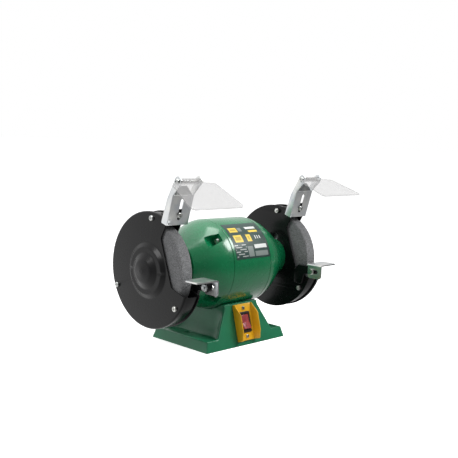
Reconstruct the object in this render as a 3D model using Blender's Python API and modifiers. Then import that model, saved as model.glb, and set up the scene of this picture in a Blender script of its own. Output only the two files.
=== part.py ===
"""A six-inch double-ended bench grinder, as an assembly of separate pieces.

X runs along the wheel shaft and is positive to the user's right. The user stands at -Y, and +Z is up.
The origin is at the middle of the foot's underside. Every length is in metres.
"""

import math

import bmesh
import bpy
from mathutils import Matrix, Vector

MM = 0.001
GAP = 0.3 * MM  # left between two pieces that touch
RUNNING_GAP = 0.5 * MM  # left between two pieces that move past each other
SHEET = 1.5 * MM  # sheet steel of the guards and the shield brackets

# Overall
MOTOR_BOTTOM = 55.5 * MM  # lowest point of the motor body, above the bench
SIDES = {"left": -1, "right": 1}

# Grinding wheels
WHEEL_RADIUS = 75 * MM
WHEEL_THICKNESS = 20 * MM
WHEEL_CHAMFER = 0.8 * MM
BORE_RADIUS = 6.5 * MM
FLANGE_RADIUS = 25 * MM
FLANGE_HUB_RADIUS = 11 * MM
INNER_FLANGE_THICKNESS = 1.8 * MM
OUTER_FLANGE_THICKNESS = 2.5 * MM
WHEEL_NUT_ACROSS_FLATS = 19 * MM
WHEEL_NUT_HEIGHT = 10 * MM

# Motor body
BODY_RADIUS = 72.5 * MM
SHELL_WALL = 4 * MM
SHELL_HALF_LENGTH = 41.5 * MM
BELL_CONE_LENGTH = 60 * MM
BELL_CONE_END_RADIUS = 43 * MM
BELL_CAVITY_RADIUS = 50 * MM
BELL_RIM_LENGTH = 12 * MM
NECK_LENGTH = 24 * MM
NECK_RADIUS = 31 * MM
NECK_BORE_RADIUS = 13 * MM
TIE_BOLT_INSET = 12 * MM  # of its axis, below the motor body's surface
TIE_BOLT_RADIUS = 2.5 * MM
TIE_BOLT_HEAD_RADIUS = 4.6 * MM
TIE_BOLT_HEAD_HEIGHT = 3.5 * MM
TIE_POCKET_RADIUS = 7.5 * MM
TIE_POCKET_FLOOR = 10.5 * MM  # from the bell's joint face
TIE_THREAD_DEPTH = 10 * MM

# Rotor and stator
STACK_HALF_LENGTH = 22 * MM
ROTOR_RADIUS = 36 * MM
AIR_GAP = 0.5 * MM
SLOT_COUNT = 12
SLOT_DEPTH = 13 * MM
SLOT_WIDTH = 7 * MM
WINDING_OVERHANG = 14 * MM
WINDING_WALL = 12 * MM
SHAFT_RADIUS = 9.5 * MM
BEARING_SEAT_RADIUS = 7.2 * MM
SHAFT_END_PAST_NUT = 1.5 * MM

# Ball bearings, 15 x 35 x 11
BEARING_OUTER_RADIUS = 17.5 * MM
BEARING_INNER_RADIUS = 7.5 * MM
BEARING_WIDTH = 11 * MM
BEARING_FROM_BELL_JOINT = 36 * MM
BALL_RADIUS = 3 * MM
BALL_PITCH_RADIUS = 12.5 * MM
BALL_COUNT = 8
RACE_LAND = 1.7 * MM  # how far each race's land stands from the balls' pitch circle
CAGE_HALF_WIDTH = 1.4 * MM
CAGE_HALF_THICKNESS = 0.6 * MM

# Wheel guards
GUARD_WHEEL_GAP = 15 * MM
PLATE_TO_WHEEL = 5 * MM
WHEEL_TO_COVER = 2.5 * MM
BAND_INSET = 2 * MM
COVER_LIP = 6.5 * MM
COVER_CORNER = 2.5 * MM
OPENING_TOP = math.radians(61)
OPENING_BOTTOM = math.radians(-18)
OPENING_CHORD_TOP = 60 * MM
OPENING_CHORD_BOTTOM = 58 * MM
PLATE_HOLE_RADIUS = 14 * MM
SPARE_HOLE_RADIUS = 5.5 * MM
SPARE_HOLE_CIRCLE = 35.5 * MM
SPARE_HOLE_ANGLE = math.radians(81)
COVER_BOLT_INSET = 9 * MM
COVER_BOLT_RADIUS = 2.4 * MM
COVER_BOLT_FIRST = math.radians(84)
COVER_BOLT_COUNT = 3
RIDGE_RADIUS = 43 * MM
RIDGE_HEIGHT = 5 * MM
DOME_RADIUS = 28 * MM
DOME_HEIGHT = 13.5 * MM

# Eye shields and their brackets
BRACKET_ANGLE = math.radians(58.6)  # where the web's foot stands on the guard
BRACKET_INSET = 5 * MM
BRACKET_LEAN = math.radians(15.8)
BRACKET_WIDTH = 41.6 * MM
BRACKET_PAST_COVER = 2.1 * MM
BRACKET_DEPTH = 13 * MM
WEB_HEIGHT = 50 * MM
NOSE_HEIGHT = 15 * MM
NOSE_WIDTH = 13 * MM
NOSE_BEND = math.radians(22)
PIVOT_HEIGHT = 69.5 * MM
PIVOT_FORWARD = 4 * MM
EAR_RADIUS = 7.5 * MM
PIVOT_RADIUS = 2.4 * MM
SLOT_BOTTOM = 11 * MM
SLOT_TOP = 39 * MM
ADJUST_BOLT_HEIGHT = 15.5 * MM
ADJUST_BOLT_RADIUS = 2.4 * MM
BRACKET_SLOT_WIDTH = 6 * MM
TAB_THICKNESS = 2 * MM
TAB_WIDTH = 18 * MM
TAB_HEIGHT = 24 * MM
SHIELD_THICKNESS = 2.4 * MM
SHIELD_LENGTH = 74 * MM
SHIELD_SHOULDER = 9 * MM
SHIELD_BACK_HALF_WIDTH = 42 * MM
SHIELD_FRONT_HALF_WIDTH = 52 * MM
SHIELD_BARREL_RADIUS = 4.6 * MM
SHIELD_TILT = {"left": math.radians(30), "right": math.radians(20)}

# Tool rests
REST_TOP_DROP = 1.5 * MM  # below the shaft's axis
REST_THICKNESS = 2 * MM
REST_WIDTH = 41 * MM
REST_DEPTH = 30 * MM
REST_WHEEL_GAP = {"left": 10 * MM, "right": 12 * MM}
REST_FLANGE_HEIGHT = 24 * MM
REST_FLANGE_REACH = 28 * MM
REST_SLOT_LENGTH = 18 * MM
REST_SLOT_WIDTH = 6.8 * MM
REST_SLOT_SETBACK = 16 * MM  # of its middle, behind the rest's front edge
REST_BOLT_DROP = 14 * MM
REST_BOLT_FORWARD = 22 * MM  # in front of the wheel's rim
REST_BOLT_RADIUS = 3 * MM
ARM_THICKNESS = 6 * MM
ARM_HEIGHT = 15 * MM
ARM_FOOT_DROP = 40 * MM

# Foot and pedestal
FOOT_LENGTH = 181 * MM
FOOT_WIDTH = 133 * MM
FOOT_HEIGHT = 17.3 * MM
DRAFT = 0.28  # every outside face of the foot leans in by this share of its height
FOOT_WALL = 4 * MM
FOOT_RIM = 4.6 * MM
POCKET_DEPTH = 2.5 * MM
PEDESTAL_HALF_LENGTH = 45 * MM
PEDESTAL_TOP_HALF_LENGTH = 37 * MM
PANEL_HALF_LENGTH = 62 * MM
PANEL_TAPER = 0.554
PANEL_THICKNESS = 9 * MM
PANEL_INSET = 0.2 * MM  # keeps the panel's face off the foot's own sloping face
CRADLE_RISE = 12 * MM  # of the pedestal above the bottom of the motor body
BENCH_HOLE_RADIUS = 4.5 * MM
BENCH_HOLE_SPACING = 118 * MM
BENCH_HOLE_SETBACK = 13 * MM  # behind the shaft's line
BOTTOM_SHEET = 1.2 * MM

# Switch
SWITCH_HEIGHT = 36 * MM  # of its middle, above the bench
BEZEL_WIDTH = 42 * MM
BEZEL_HEIGHT = 60 * MM
BEZEL_THICKNESS = 2.5 * MM
CHEEK_THICKNESS = 2.4 * MM
CHEEK_HEIGHT = 13 * MM
SWITCH_FRAME_WIDTH = 23 * MM
SWITCH_FRAME_HEIGHT = 34 * MM
SWITCH_FRAME_THICKNESS = 1.6 * MM
SWITCH_BODY_WIDTH = 20 * MM
SWITCH_BODY_HEIGHT = 29 * MM
SWITCH_BODY_DEPTH = 24 * MM
ROCKER_WIDTH = 16 * MM
ROCKER_HEIGHT = 24 * MM
ROCKER_THICKNESS = 7 * MM
ROCKER_THROW = math.radians(9)  # to either side of level

# Wiring
CAPACITOR_RADIUS = 14 * MM
CAPACITOR_LENGTH = 52 * MM
GLAND_HEIGHT = 34 * MM
GLAND_RADIUS = 9 * MM
GLAND_NECK_RADIUS = 6 * MM
GLAND_BORE_RADIUS = 3.6 * MM
GLAND_LIP = 3 * MM

# Roundness
SHARP_ANGLE = math.radians(35)
COARSE, MEDIUM, FINE = 8, 16, 32

# Worked out from the sizes above
SHAFT_HEIGHT = MOTOR_BOTTOM + BODY_RADIUS
TIE_BOLT_CIRCLE = BODY_RADIUS - TIE_BOLT_INSET
BELL_JOINT = SHELL_HALF_LENGTH + GAP
NECK_START = BELL_JOINT + BELL_CONE_LENGTH
NECK_END = NECK_START + NECK_LENGTH
PLATE_X = NECK_END + GAP
WHEEL_X = PLATE_X + SHEET + PLATE_TO_WHEEL
WHEEL_OUT_X = WHEEL_X + WHEEL_THICKNESS
COVER_X = WHEEL_OUT_X + WHEEL_TO_COVER
COVER_OUT_X = COVER_X + SHEET
NUT_X = WHEEL_OUT_X + OUTER_FLANGE_THICKNESS + 2 * GAP
GUARD_RADIUS = WHEEL_RADIUS + GUARD_WHEEL_GAP
BAND_RADIUS = GUARD_RADIUS - BAND_INSET
BEARING_X = BELL_JOINT + BEARING_FROM_BELL_JOINT
LEAN = math.atan(DRAFT)
AXIS = Vector((0, 0, SHAFT_HEIGHT))


def clear_scene():
    for thing in list(bpy.data.objects):
        bpy.data.objects.remove(thing)


def new_collection(name):
    made = bpy.data.collections.new(name)
    bpy.context.scene.collection.children.link(made)
    return made


clear_scene()
GRINDER = new_collection("bench_grinder")
CUTTERS = new_collection("cutters")


def material(name, colour, roughness, metallic=0.0):
    made = bpy.data.materials.new(name)
    made.use_nodes = True
    shader = made.node_tree.nodes["Principled BSDF"]
    shader.inputs["Base Color"].default_value = (*colour, 1)
    shader.inputs["Roughness"].default_value = roughness
    shader.inputs["Metallic"].default_value = metallic
    return made


GREEN = material("green_enamel", (0.02, 0.17, 0.08), 0.3)
BLACK = material("black_enamel", (0.02, 0.02, 0.025), 0.35)
ZINC = material("zinc_plate", (0.72, 0.74, 0.73), 0.35, 1.0)
STEEL = material("ground_steel", (0.5, 0.5, 0.52), 0.3, 1.0)
LAMINATION = material("lamination_steel", (0.22, 0.22, 0.24), 0.5, 1.0)
COPPER = material("enamelled_copper", (0.55, 0.22, 0.08), 0.4, 1.0)
ABRASIVE = material("grey_abrasive", (0.4, 0.4, 0.39), 0.95)
CLEAR = material("clear_plastic", (0.85, 0.87, 0.88), 0.1)
YELLOW = material("yellow_plastic", (0.9, 0.5, 0.01), 0.4)
RED = material("red_lens", (0.6, 0.05, 0.04), 0.2)
DARK_PLASTIC = material("black_plastic", (0.02, 0.02, 0.02), 0.45)
RUBBER = material("black_rubber", (0.02, 0.02, 0.02), 0.8)


# Making single shapes


def add_mesh(name, build, finish, matrix=None):
    """A new object from a bmesh that build(bm) fills in, already in its place in the grinder."""
    bm = bmesh.new()
    build(bm)
    if matrix is not None:
        bmesh.ops.transform(bm, matrix=matrix, verts=bm.verts)
    mesh = bpy.data.meshes.new(name)
    bm.to_mesh(mesh)
    bm.free()
    thing = bpy.data.objects.new(name, mesh)
    mesh.materials.append(finish)
    GRINDER.objects.link(thing)
    return thing


def as_cutter(thing):
    GRINDER.objects.unlink(thing)
    CUTTERS.objects.link(thing)
    thing.hide_render = True
    thing.display_type = "WIRE"
    return thing


def boolean(target, operation, *tools):
    for tool in tools:
        modifier = target.modifiers.new(tool.name, "BOOLEAN")
        modifier.operation = operation
        modifier.solver = "EXACT"
        modifier.object = as_cutter(tool) if tool.name in GRINDER.objects else tool
    return target


def cut(target, *tools):
    return boolean(target, "DIFFERENCE", *tools)


def join(target, *tools):
    return boolean(target, "UNION", *tools)


def frustum(name, bottom, top, finish, matrix=None):
    """A block between two level rectangles, each given as (half length, half width, height)."""

    def build(bm):
        bmesh.ops.create_cube(bm, size=2)
        for corner in bm.verts:
            half_x, half_y, z = top if corner.co.z > 0 else bottom
            corner.co = Vector((corner.co.x * half_x, corner.co.y * half_y, z))

    return add_mesh(name, build, finish, matrix)


def block(name, low, high, finish, matrix=None):
    middle = (Vector(low) + Vector(high)) / 2
    half = (Vector(high) - Vector(low)) / 2
    place = Matrix.Translation(middle)
    if matrix is not None:
        place = matrix @ place
    return frustum(name, (half.x, half.y, -half.z), (half.x, half.y, half.z), finish, place)


def rod(name, radius, low, high, finish, centre=AXIS, sides=MEDIUM, across="X", matrix=None):
    """A round bar between two places along X (or Y or Z), through centre."""
    turn = {"X": Matrix.Rotation(math.pi / 2, 4, "Y"), "Y": Matrix.Rotation(-math.pi / 2, 4, "X"), "Z": Matrix()}
    along = {"X": Vector((1, 0, 0)), "Y": Vector((0, 1, 0)), "Z": Vector((0, 0, 1))}[across]
    place = Matrix.Translation(Vector(centre) + along * (low + high) / 2) @ turn[across]
    if matrix is not None:
        place = matrix @ place

    def build(bm):
        bmesh.ops.create_cone(
            bm, cap_ends=True, segments=sides, radius1=radius, radius2=radius, depth=abs(high - low)
        )

    return add_mesh(name, build, finish, place)


def turned(name, profile, finish, side=1, centre=AXIS, steps=MEDIUM, closed=False, matrix=None):
    """A shape turned about X from (distance along X, radius) points that run from the outer end inwards.

    A closed profile makes a ring. An open one starts and ends on the axis.
    """
    mesh = bpy.data.meshes.new(name)
    points = [(radius, 0, along) for along, radius in profile]
    edges = [(i, i + 1) for i in range(len(points) - 1)]
    if closed:
        edges.append((len(points) - 1, 0))
    mesh.from_pydata(points, edges, [])
    mesh.materials.append(finish)
    thing = bpy.data.objects.new(name, mesh)
    GRINDER.objects.link(thing)
    place = Matrix.Translation(centre) @ Matrix.Rotation(side * math.pi / 2, 4, "Y")
    thing.matrix_world = place if matrix is None else matrix @ place
    screw = thing.modifiers.new("turn", "SCREW")
    screw.axis = "Z"
    screw.angle = 2 * math.pi
    screw.steps = steps
    screw.render_steps = steps
    screw.use_merge_vertices = True
    screw.merge_threshold = 1e-5
    screw.use_smooth_shade = True
    return thing


def plate(name, outline, low, high, finish, holes=(), matrix=None, across="X"):
    """A flat piece between low and high along X, with its outline and holes given as (y, z) points.

    With across "Z" the points are (x, y), and low and high are heights.
    """
    curve = bpy.data.curves.new(name, "CURVE")
    curve.dimensions = "2D"
    curve.fill_mode = "BOTH"
    curve.extrude = abs(high - low) / 2
    for loop in (outline, *holes):
        spline = curve.splines.new("POLY")
        spline.points.add(len(loop) - 1)
        for point, (u, v) in zip(spline.points, loop):
            point.co = (u, v, 0, 1)
        spline.use_cyclic_u = True
    drawn = bpy.data.objects.new(name + "_outline", curve)
    CUTTERS.objects.link(drawn)
    middle = (low + high) / 2
    if across == "X":
        turn = Matrix(((0, 0, 1, middle), (1, 0, 0, 0), (0, 1, 0, 0), (0, 0, 0, 1)))
    else:
        turn = Matrix.Translation((0, 0, middle))
    drawn.matrix_world = turn if matrix is None else matrix @ turn
    bpy.context.view_layer.update()
    graph = bpy.context.evaluated_depsgraph_get()
    mesh = bpy.data.meshes.new_from_object(drawn.evaluated_get(graph))
    bm = bmesh.new()
    bm.from_mesh(mesh)
    bmesh.ops.remove_doubles(bm, verts=bm.verts, dist=1e-6)
    bmesh.ops.transform(bm, matrix=drawn.matrix_world, verts=bm.verts)
    bmesh.ops.recalc_face_normals(bm, faces=bm.faces)
    bm.to_mesh(mesh)
    bm.free()
    mesh.materials.clear()
    mesh.materials.append(finish)
    bpy.data.objects.remove(drawn)
    thing = bpy.data.objects.new(name, mesh)
    GRINDER.objects.link(thing)
    return thing


def arc(centre, radius, start, end, steps):
    """Points along an arc, both ends included, as (u, v)."""
    return [
        (
            centre[0] + radius * math.cos(start + (end - start) * i / steps),
            centre[1] + radius * math.sin(start + (end - start) * i / steps),
        )
        for i in range(steps + 1)
    ]


def ring(centre, radius, sides):
    return arc(centre, radius, 0, 2 * math.pi * (sides - 1) / sides, sides - 1)


def slot(first, second, radius, sides=6):
    """The outline of a round-ended slot between two centres."""
    heading = math.atan2(second[1] - first[1], second[0] - first[0])
    quarter = math.pi / 2
    return arc(second, radius, heading - quarter, heading + quarter, sides) + arc(
        first, radius, heading + quarter, heading + 3 * quarter, sides
    )


def seen_from_front(angle, radius):
    """The (y, z) of a place on a wheel, with angles counted upwards from straight towards the user."""
    return (-radius * math.cos(angle), SHAFT_HEIGHT + radius * math.sin(angle))


def span(side, near, far):
    """Two places along X as (low, high), for a piece that stands near to far on this side."""
    return tuple(sorted((side * near, side * far)))


def fastener(name, radius, near, far, head_radius, head_height, centre, finish, nut=None, side=1, matrix=None):
    """A bolt along X from near to far with its head past near, and its nut ending at far if it has one."""
    head_end = near - head_height
    profile = [(far, 0), (far, radius), (near, radius), (near, head_radius), (head_end, head_radius), (head_end, 0)]
    if nut:
        nut_near, nut_far, nut_radius = nut
        profile[1:3] = [
            (far, radius),
            (nut_far, radius),
            (nut_far, nut_radius),
            (nut_near, nut_radius),
            (nut_near, radius),
            (near, radius),
        ]
    return turned(name, profile, finish, side, centre, COARSE, matrix=matrix)


# The motor


def bell_profile():
    """The casting's section, from the joint face round the outside to the guard's seat, and back along the inside."""
    joint, cone = BELL_JOINT, NECK_START
    shoulder = 4 * MM
    rounding = 0.17 * BELL_CONE_LENGTH
    slope = (BODY_RADIUS - BELL_CONE_END_RADIUS) / (BELL_CONE_LENGTH - shoulder)
    start = joint + shoulder
    outer = [
        (joint, BODY_RADIUS),
        (start, BODY_RADIUS),
        (start + 0.5 * rounding, BODY_RADIUS - 0.28 * slope * rounding),
        (start + rounding, BODY_RADIUS - 0.72 * slope * rounding),
        (start + 2 * rounding, BODY_RADIUS - 1.75 * slope * rounding),
        (cone - 3 * MM, BELL_CONE_END_RADIUS + 1.2 * MM),
        (cone - 0.8 * MM, BELL_CONE_END_RADIUS - 1.2 * MM),
        (cone, BELL_CONE_END_RADIUS - 4 * MM),
        (cone, NECK_RADIUS + 3 * MM),
        (cone + 3 * MM, NECK_RADIUS),
        (NECK_END, NECK_RADIUS),
    ]
    seat = BEARING_OUTER_RADIUS + GAP
    seat_end = BEARING_X + BEARING_WIDTH + GAP
    inner = [
        (NECK_END, NECK_BORE_RADIUS),
        (seat_end, NECK_BORE_RADIUS),
        (seat_end, seat),
        (BEARING_X - GAP, seat),
        (BEARING_X - GAP, BELL_CAVITY_RADIUS - 3 * MM),
        (joint + BELL_RIM_LENGTH, BELL_CAVITY_RADIUS),
        (joint, BELL_CAVITY_RADIUS),
    ]
    return outer + inner


def tie_bolt_centres():
    for quarter in range(4):
        angle = math.radians(45 + 90 * quarter)
        y, z = seen_from_front(angle, TIE_BOLT_CIRCLE)
        yield Vector((0, y, z))


def build_bells():
    pocket_floor = BELL_JOINT + TIE_POCKET_FLOOR
    for word, side in SIDES.items():
        bell = turned(f"end_bell_{word}", bell_profile()[::-1], GREEN, side, steps=FINE, closed=True)
        for i, centre in enumerate(tie_bolt_centres()):
            through = -pocket_floor - GAP if side < 0 else BELL_JOINT + TIE_THREAD_DEPTH + GAP
            hole = rod(
                f"tie_hole_{word}_{i}", TIE_BOLT_RADIUS + GAP, side * (BELL_JOINT - MM), through, GREEN, centre, COARSE
            )
            cut(bell, hole)
            if side < 0:
                pocket = rod(
                    f"tie_pocket_{i}", TIE_POCKET_RADIUS, -pocket_floor, -NECK_START, GREEN, centre, 16
                )
                cut(bell, pocket)


def build_tie_bolts():
    near = -(BELL_JOINT + TIE_POCKET_FLOOR) - GAP
    far = BELL_JOINT + TIE_THREAD_DEPTH
    for i, centre in enumerate(tie_bolt_centres()):
        fastener(
            f"tie_bolt_{i + 1}", TIE_BOLT_RADIUS, near, far, TIE_BOLT_HEAD_RADIUS, TIE_BOLT_HEAD_HEIGHT, centre, ZINC
        )


def build_shell():
    inner = BODY_RADIUS - SHELL_WALL
    end = SHELL_HALF_LENGTH
    profile = [(-end, BODY_RADIUS), (end, BODY_RADIUS), (end, inner), (-end, inner)]
    shell = turned("motor_shell", profile[::-1], GREEN, steps=FINE, closed=True)
    wire_hole = rod("wire_hole", 6 * MM, 0, BODY_RADIUS + 5 * MM, GREEN, (0, 0, SHAFT_HEIGHT - BODY_RADIUS - 5 * MM),
                    COARSE, "Z")
    cut(shell, wire_hole)


def build_stator():
    outer = BODY_RADIUS - SHELL_WALL - GAP
    bore = ROTOR_RADIUS + AIR_GAP
    half_slot = math.asin(SLOT_WIDTH / 2 / bore)
    inside = []
    for i in range(SLOT_COUNT):
        middle = 2 * math.pi * i / SLOT_COUNT
        tooth = middle + math.pi / SLOT_COUNT
        for angle, radius in (
            (middle - half_slot, bore),
            (middle - half_slot * bore / (bore + SLOT_DEPTH), bore + SLOT_DEPTH),
            (middle + half_slot * bore / (bore + SLOT_DEPTH), bore + SLOT_DEPTH),
            (middle + half_slot, bore),
            (tooth, bore),
        ):
            inside.append(seen_from_front(angle, radius))
    holes = [ring((c.y, c.z), TIE_BOLT_RADIUS + RUNNING_GAP, 8) for c in tie_bolt_centres()]
    plate(
        "stator_core", ring((0, SHAFT_HEIGHT), outer, FINE), -STACK_HALF_LENGTH, STACK_HALF_LENGTH, LAMINATION,
        [inside, *holes],
    )


def build_winding():
    """The coil ends on both sides of the stack, joined by the bars that fill the slots."""
    slot_floor = ROTOR_RADIUS + AIR_GAP + SLOT_DEPTH
    low, high = slot_floor - WINDING_WALL, slot_floor - RUNNING_GAP
    near, far = STACK_HALF_LENGTH + GAP, STACK_HALF_LENGTH + WINDING_OVERHANG
    edge = 3 * MM
    half = [(near, high), (far - edge, high), (far, high - edge), (far, low + edge), (far - edge, low), (near, low)]
    left, right = [
        turned(f"coil_end_{word}", half[::-1], COPPER, side, closed=True) for word, side in SIDES.items()
    ]
    left.name = "winding"
    bars = []
    for i in range(SLOT_COUNT):
        turn = Matrix.Translation(AXIS) @ Matrix.Rotation(2 * math.pi * i / SLOT_COUNT, 4, "X")
        half_bar = SLOT_WIDTH / 2 - 1.5 * MM
        reach = near + 2 * MM
        bars.append(block(f"slot_bar_{i}", (-reach, -high + MM, -half_bar), (reach, -low - MM, half_bar), COPPER, turn))
    join(left, *bars, right)


def build_rotor():
    bore = SHAFT_RADIUS + GAP
    end = STACK_HALF_LENGTH
    profile = [(-end, ROTOR_RADIUS), (end, ROTOR_RADIUS), (end, bore), (-end, bore)]
    turned("rotor_core", profile[::-1], LAMINATION, steps=FINE, closed=True)
    step = BEARING_X - GAP
    shoulder = PLATE_X - 5 * MM
    tip = NUT_X + WHEEL_NUT_HEIGHT + SHAFT_END_PAST_NUT
    end_radius = BORE_RADIUS - GAP
    half = [(step, SHAFT_RADIUS), (step, BEARING_SEAT_RADIUS), (shoulder, BEARING_SEAT_RADIUS), (shoulder, end_radius),
            (tip - MM, end_radius), (tip, end_radius - MM), (tip, 0)]
    mirrored = [(-along, radius) for along, radius in reversed(half)]
    turned("shaft", (mirrored + half)[::-1], STEEL)


def build_bearings():
    middle = BEARING_WIDTH / 2
    groove = BALL_RADIUS + RUNNING_GAP
    half_groove = math.sqrt(groove**2 - RACE_LAND**2)
    opening = math.atan2(half_groove, RACE_LAND)

    def raceway(facing):
        """Points across the groove, facing +1 for the inner race and -1 for the outer one."""
        return [
            (groove * math.sin(a), BALL_PITCH_RADIUS - facing * groove * math.cos(a))
            for a in (-opening, -opening / 2, 0, opening / 2, opening)
        ]

    for word, side in SIDES.items():
        centre = AXIS + Vector((side * (BEARING_X + middle), 0, 0))
        outer = [(middle, BALL_PITCH_RADIUS + RACE_LAND), (middle, BEARING_OUTER_RADIUS)]
        outer += [(-middle, BEARING_OUTER_RADIUS), (-middle, BALL_PITCH_RADIUS + RACE_LAND)]
        turned(f"bearing_outer_{word}", outer + raceway(-1), STEEL, centre=centre, closed=True)
        inner = [(-middle, BALL_PITCH_RADIUS - RACE_LAND)]
        inner += [(-middle, BEARING_INNER_RADIUS), (middle, BEARING_INNER_RADIUS)]
        inner += [(middle, BALL_PITCH_RADIUS - RACE_LAND)]
        turned(f"bearing_inner_{word}", inner + raceway(1)[::-1], STEEL, centre=centre, closed=True)
        high, low = BALL_PITCH_RADIUS + CAGE_HALF_THICKNESS, BALL_PITCH_RADIUS - CAGE_HALF_THICKNESS
        hoop = [(-CAGE_HALF_WIDTH, high), (-CAGE_HALF_WIDTH, low), (CAGE_HALF_WIDTH, low), (CAGE_HALF_WIDTH, high)]
        cage = turned(f"ball_cage_{word}", hoop, STEEL, centre=centre, closed=True)
        for i in range(BALL_COUNT):
            angle = 2 * math.pi * (i + 0.5) / BALL_COUNT
            spot = centre + Vector((0, BALL_PITCH_RADIUS * math.cos(angle), BALL_PITCH_RADIUS * math.sin(angle)))
            ball = add_mesh(
                f"ball_{word}_{i}",
                lambda bm: bmesh.ops.create_uvsphere(bm, u_segments=6, v_segments=4, radius=BALL_RADIUS),
                STEEL,
                Matrix.Translation(spot),
            )
            join(cage, ball)


# The wheels and what clamps them


def build_wheels():
    for word, side in SIDES.items():
        edge = WHEEL_RADIUS - WHEEL_CHAMFER
        wheel = [
            (WHEEL_X, edge),
            (WHEEL_X + WHEEL_CHAMFER, WHEEL_RADIUS),
            (WHEEL_OUT_X - WHEEL_CHAMFER, WHEEL_RADIUS),
            (WHEEL_OUT_X, edge),
            (WHEEL_OUT_X, BORE_RADIUS),
            (WHEEL_X, BORE_RADIUS),
        ]
        turned(f"grinding_wheel_{word}", wheel[::-1], ABRASIVE, side, steps=FINE, closed=True)
        face = WHEEL_X - GAP
        hub = PLATE_X - 5 * MM + GAP
        back = face - INNER_FLANGE_THICKNESS
        inner = [(hub, FLANGE_HUB_RADIUS), (back, FLANGE_HUB_RADIUS), (back, FLANGE_RADIUS), (face, FLANGE_RADIUS),
                 (face, BORE_RADIUS), (hub, BORE_RADIUS)]
        turned(f"inner_flange_{word}", inner[::-1], STEEL, side, closed=True)
        face = WHEEL_OUT_X + GAP
        front = face + OUTER_FLANGE_THICKNESS
        outer = [(face, FLANGE_RADIUS), (front - MM, FLANGE_RADIUS), (front, FLANGE_RADIUS - MM), (front, BORE_RADIUS),
                 (face, BORE_RADIUS)]
        turned(f"outer_flange_{word}", outer[::-1], STEEL, side, closed=True)
        low, high = span(side, NUT_X, NUT_X + WHEEL_NUT_HEIGHT)
        corner = WHEEL_NUT_ACROSS_FLATS / math.sqrt(3)
        middle = (0, SHAFT_HEIGHT)
        plate(f"wheel_nut_{word}", ring(middle, corner, 6), low, high, ZINC, [ring(middle, BORE_RADIUS, MEDIUM)])


# The guards


def guard_opening():
    """The wedge that is missing from a guard's plate and cover, as (y, z) points that run well past its rim."""
    far = 2 * GUARD_RADIUS
    middle = (OPENING_TOP + OPENING_BOTTOM) / 2
    return [
        seen_from_front(OPENING_TOP, OPENING_CHORD_TOP),
        seen_from_front(OPENING_TOP, far),
        seen_from_front(middle, far),
        seen_from_front(OPENING_BOTTOM, far),
        seen_from_front(OPENING_BOTTOM, OPENING_CHORD_BOTTOM),
    ]


def guard_rim(radius, top, bottom, steps):
    """The rim from the opening's top, back over the wheel and down to the opening's bottom."""
    turn = 2 * math.pi + bottom - top
    return [seen_from_front(top + turn * i / steps, radius) for i in range(steps + 1)]


def cover_bolt_spots():
    for i in range(COVER_BOLT_COUNT):
        yield seen_from_front(COVER_BOLT_FIRST + 2 * math.pi * i / COVER_BOLT_COUNT, GUARD_RADIUS - COVER_BOLT_INSET)


def cover_profile():
    """The cover's outside from its lip to the middle of the dome, as (distance along X, radius)."""
    face = COVER_OUT_X
    corner = COVER_CORNER
    return [
        (face - COVER_LIP, GUARD_RADIUS),
        (face - corner, GUARD_RADIUS),
        (face - 0.3 * corner, GUARD_RADIUS - 0.3 * corner),
        (face, GUARD_RADIUS - corner),
        (face, RIDGE_RADIUS),
        (face + 0.7 * RIDGE_HEIGHT, RIDGE_RADIUS - 4 * MM),
        (face + RIDGE_HEIGHT, RIDGE_RADIUS - 8 * MM),
        (face + RIDGE_HEIGHT, DOME_RADIUS),
        (face + 0.75 * DOME_HEIGHT, 0.75 * DOME_RADIUS),
        (face + 0.95 * DOME_HEIGHT, 0.4 * DOME_RADIUS),
        (face + DOME_HEIGHT, 0),
    ]


def build_guards():
    opening = guard_opening()
    for word, side in SIDES.items():
        low, high = span(side, PLATE_X, PLATE_X + SHEET)
        holes = [ring((0, SHAFT_HEIGHT), PLATE_HOLE_RADIUS, MEDIUM)]
        holes.append(ring(seen_from_front(SPARE_HOLE_ANGLE, SPARE_HOLE_CIRCLE), SPARE_HOLE_RADIUS, COARSE))
        holes += [ring(spot, COVER_BOLT_RADIUS + GAP, COARSE) for spot in cover_bolt_spots()]
        outline = [opening[0], *guard_rim(GUARD_RADIUS, OPENING_TOP, OPENING_BOTTOM, FINE), opening[-1]]
        plate(f"guard_plate_{word}", outline, low, high, BLACK, holes)

        low, high = span(side, PLATE_X + SHEET + GAP, COVER_X - COVER_CORNER)
        top, bottom = OPENING_TOP + math.radians(2.5), OPENING_BOTTOM - math.radians(2)
        outside = guard_rim(BAND_RADIUS, top, bottom, FINE)
        inside = guard_rim(BAND_RADIUS - SHEET, top, bottom, FINE)
        plate(f"guard_band_{word}", outside + inside[::-1], low, high, BLACK)

        outside = cover_profile()
        lip = outside[0]
        inside = [(along - SHEET, max(0, radius - (SHEET if i < 4 else 0))) for i, (along, radius) in enumerate(outside)]
        inside[0] = (lip[0], lip[1] - SHEET)
        cover = turned(f"guard_cover_{word}", (outside[::-1] + inside), BLACK, side, steps=FINE)
        low, high = span(side, COVER_X - 2 * COVER_LIP, COVER_OUT_X + 2 * DOME_HEIGHT)
        cut(cover, plate(f"cover_opening_{word}", opening, low, high, BLACK))
        for i, spot in enumerate(cover_bolt_spots()):
            hole = rod(f"cover_hole_{word}_{i}", COVER_BOLT_RADIUS + GAP, low, high, BLACK, (0, *spot), COARSE)
            cut(cover, hole)


def build_cover_bolts():
    near, far = -(COVER_OUT_X + GAP), -(PLATE_X - 6 * MM)
    nut = (-(PLATE_X - GAP), -(PLATE_X - 4.3 * MM), 4.4 * MM)
    for word, side in SIDES.items():
        for i, spot in enumerate(cover_bolt_spots()):
            fastener(
                f"cover_bolt_{word}_{i + 1}", COVER_BOLT_RADIUS, near, far, 4.4 * MM, 3 * MM, (0, *spot), ZINC,
                nut, -side,
            )


# The eye shields


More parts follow.
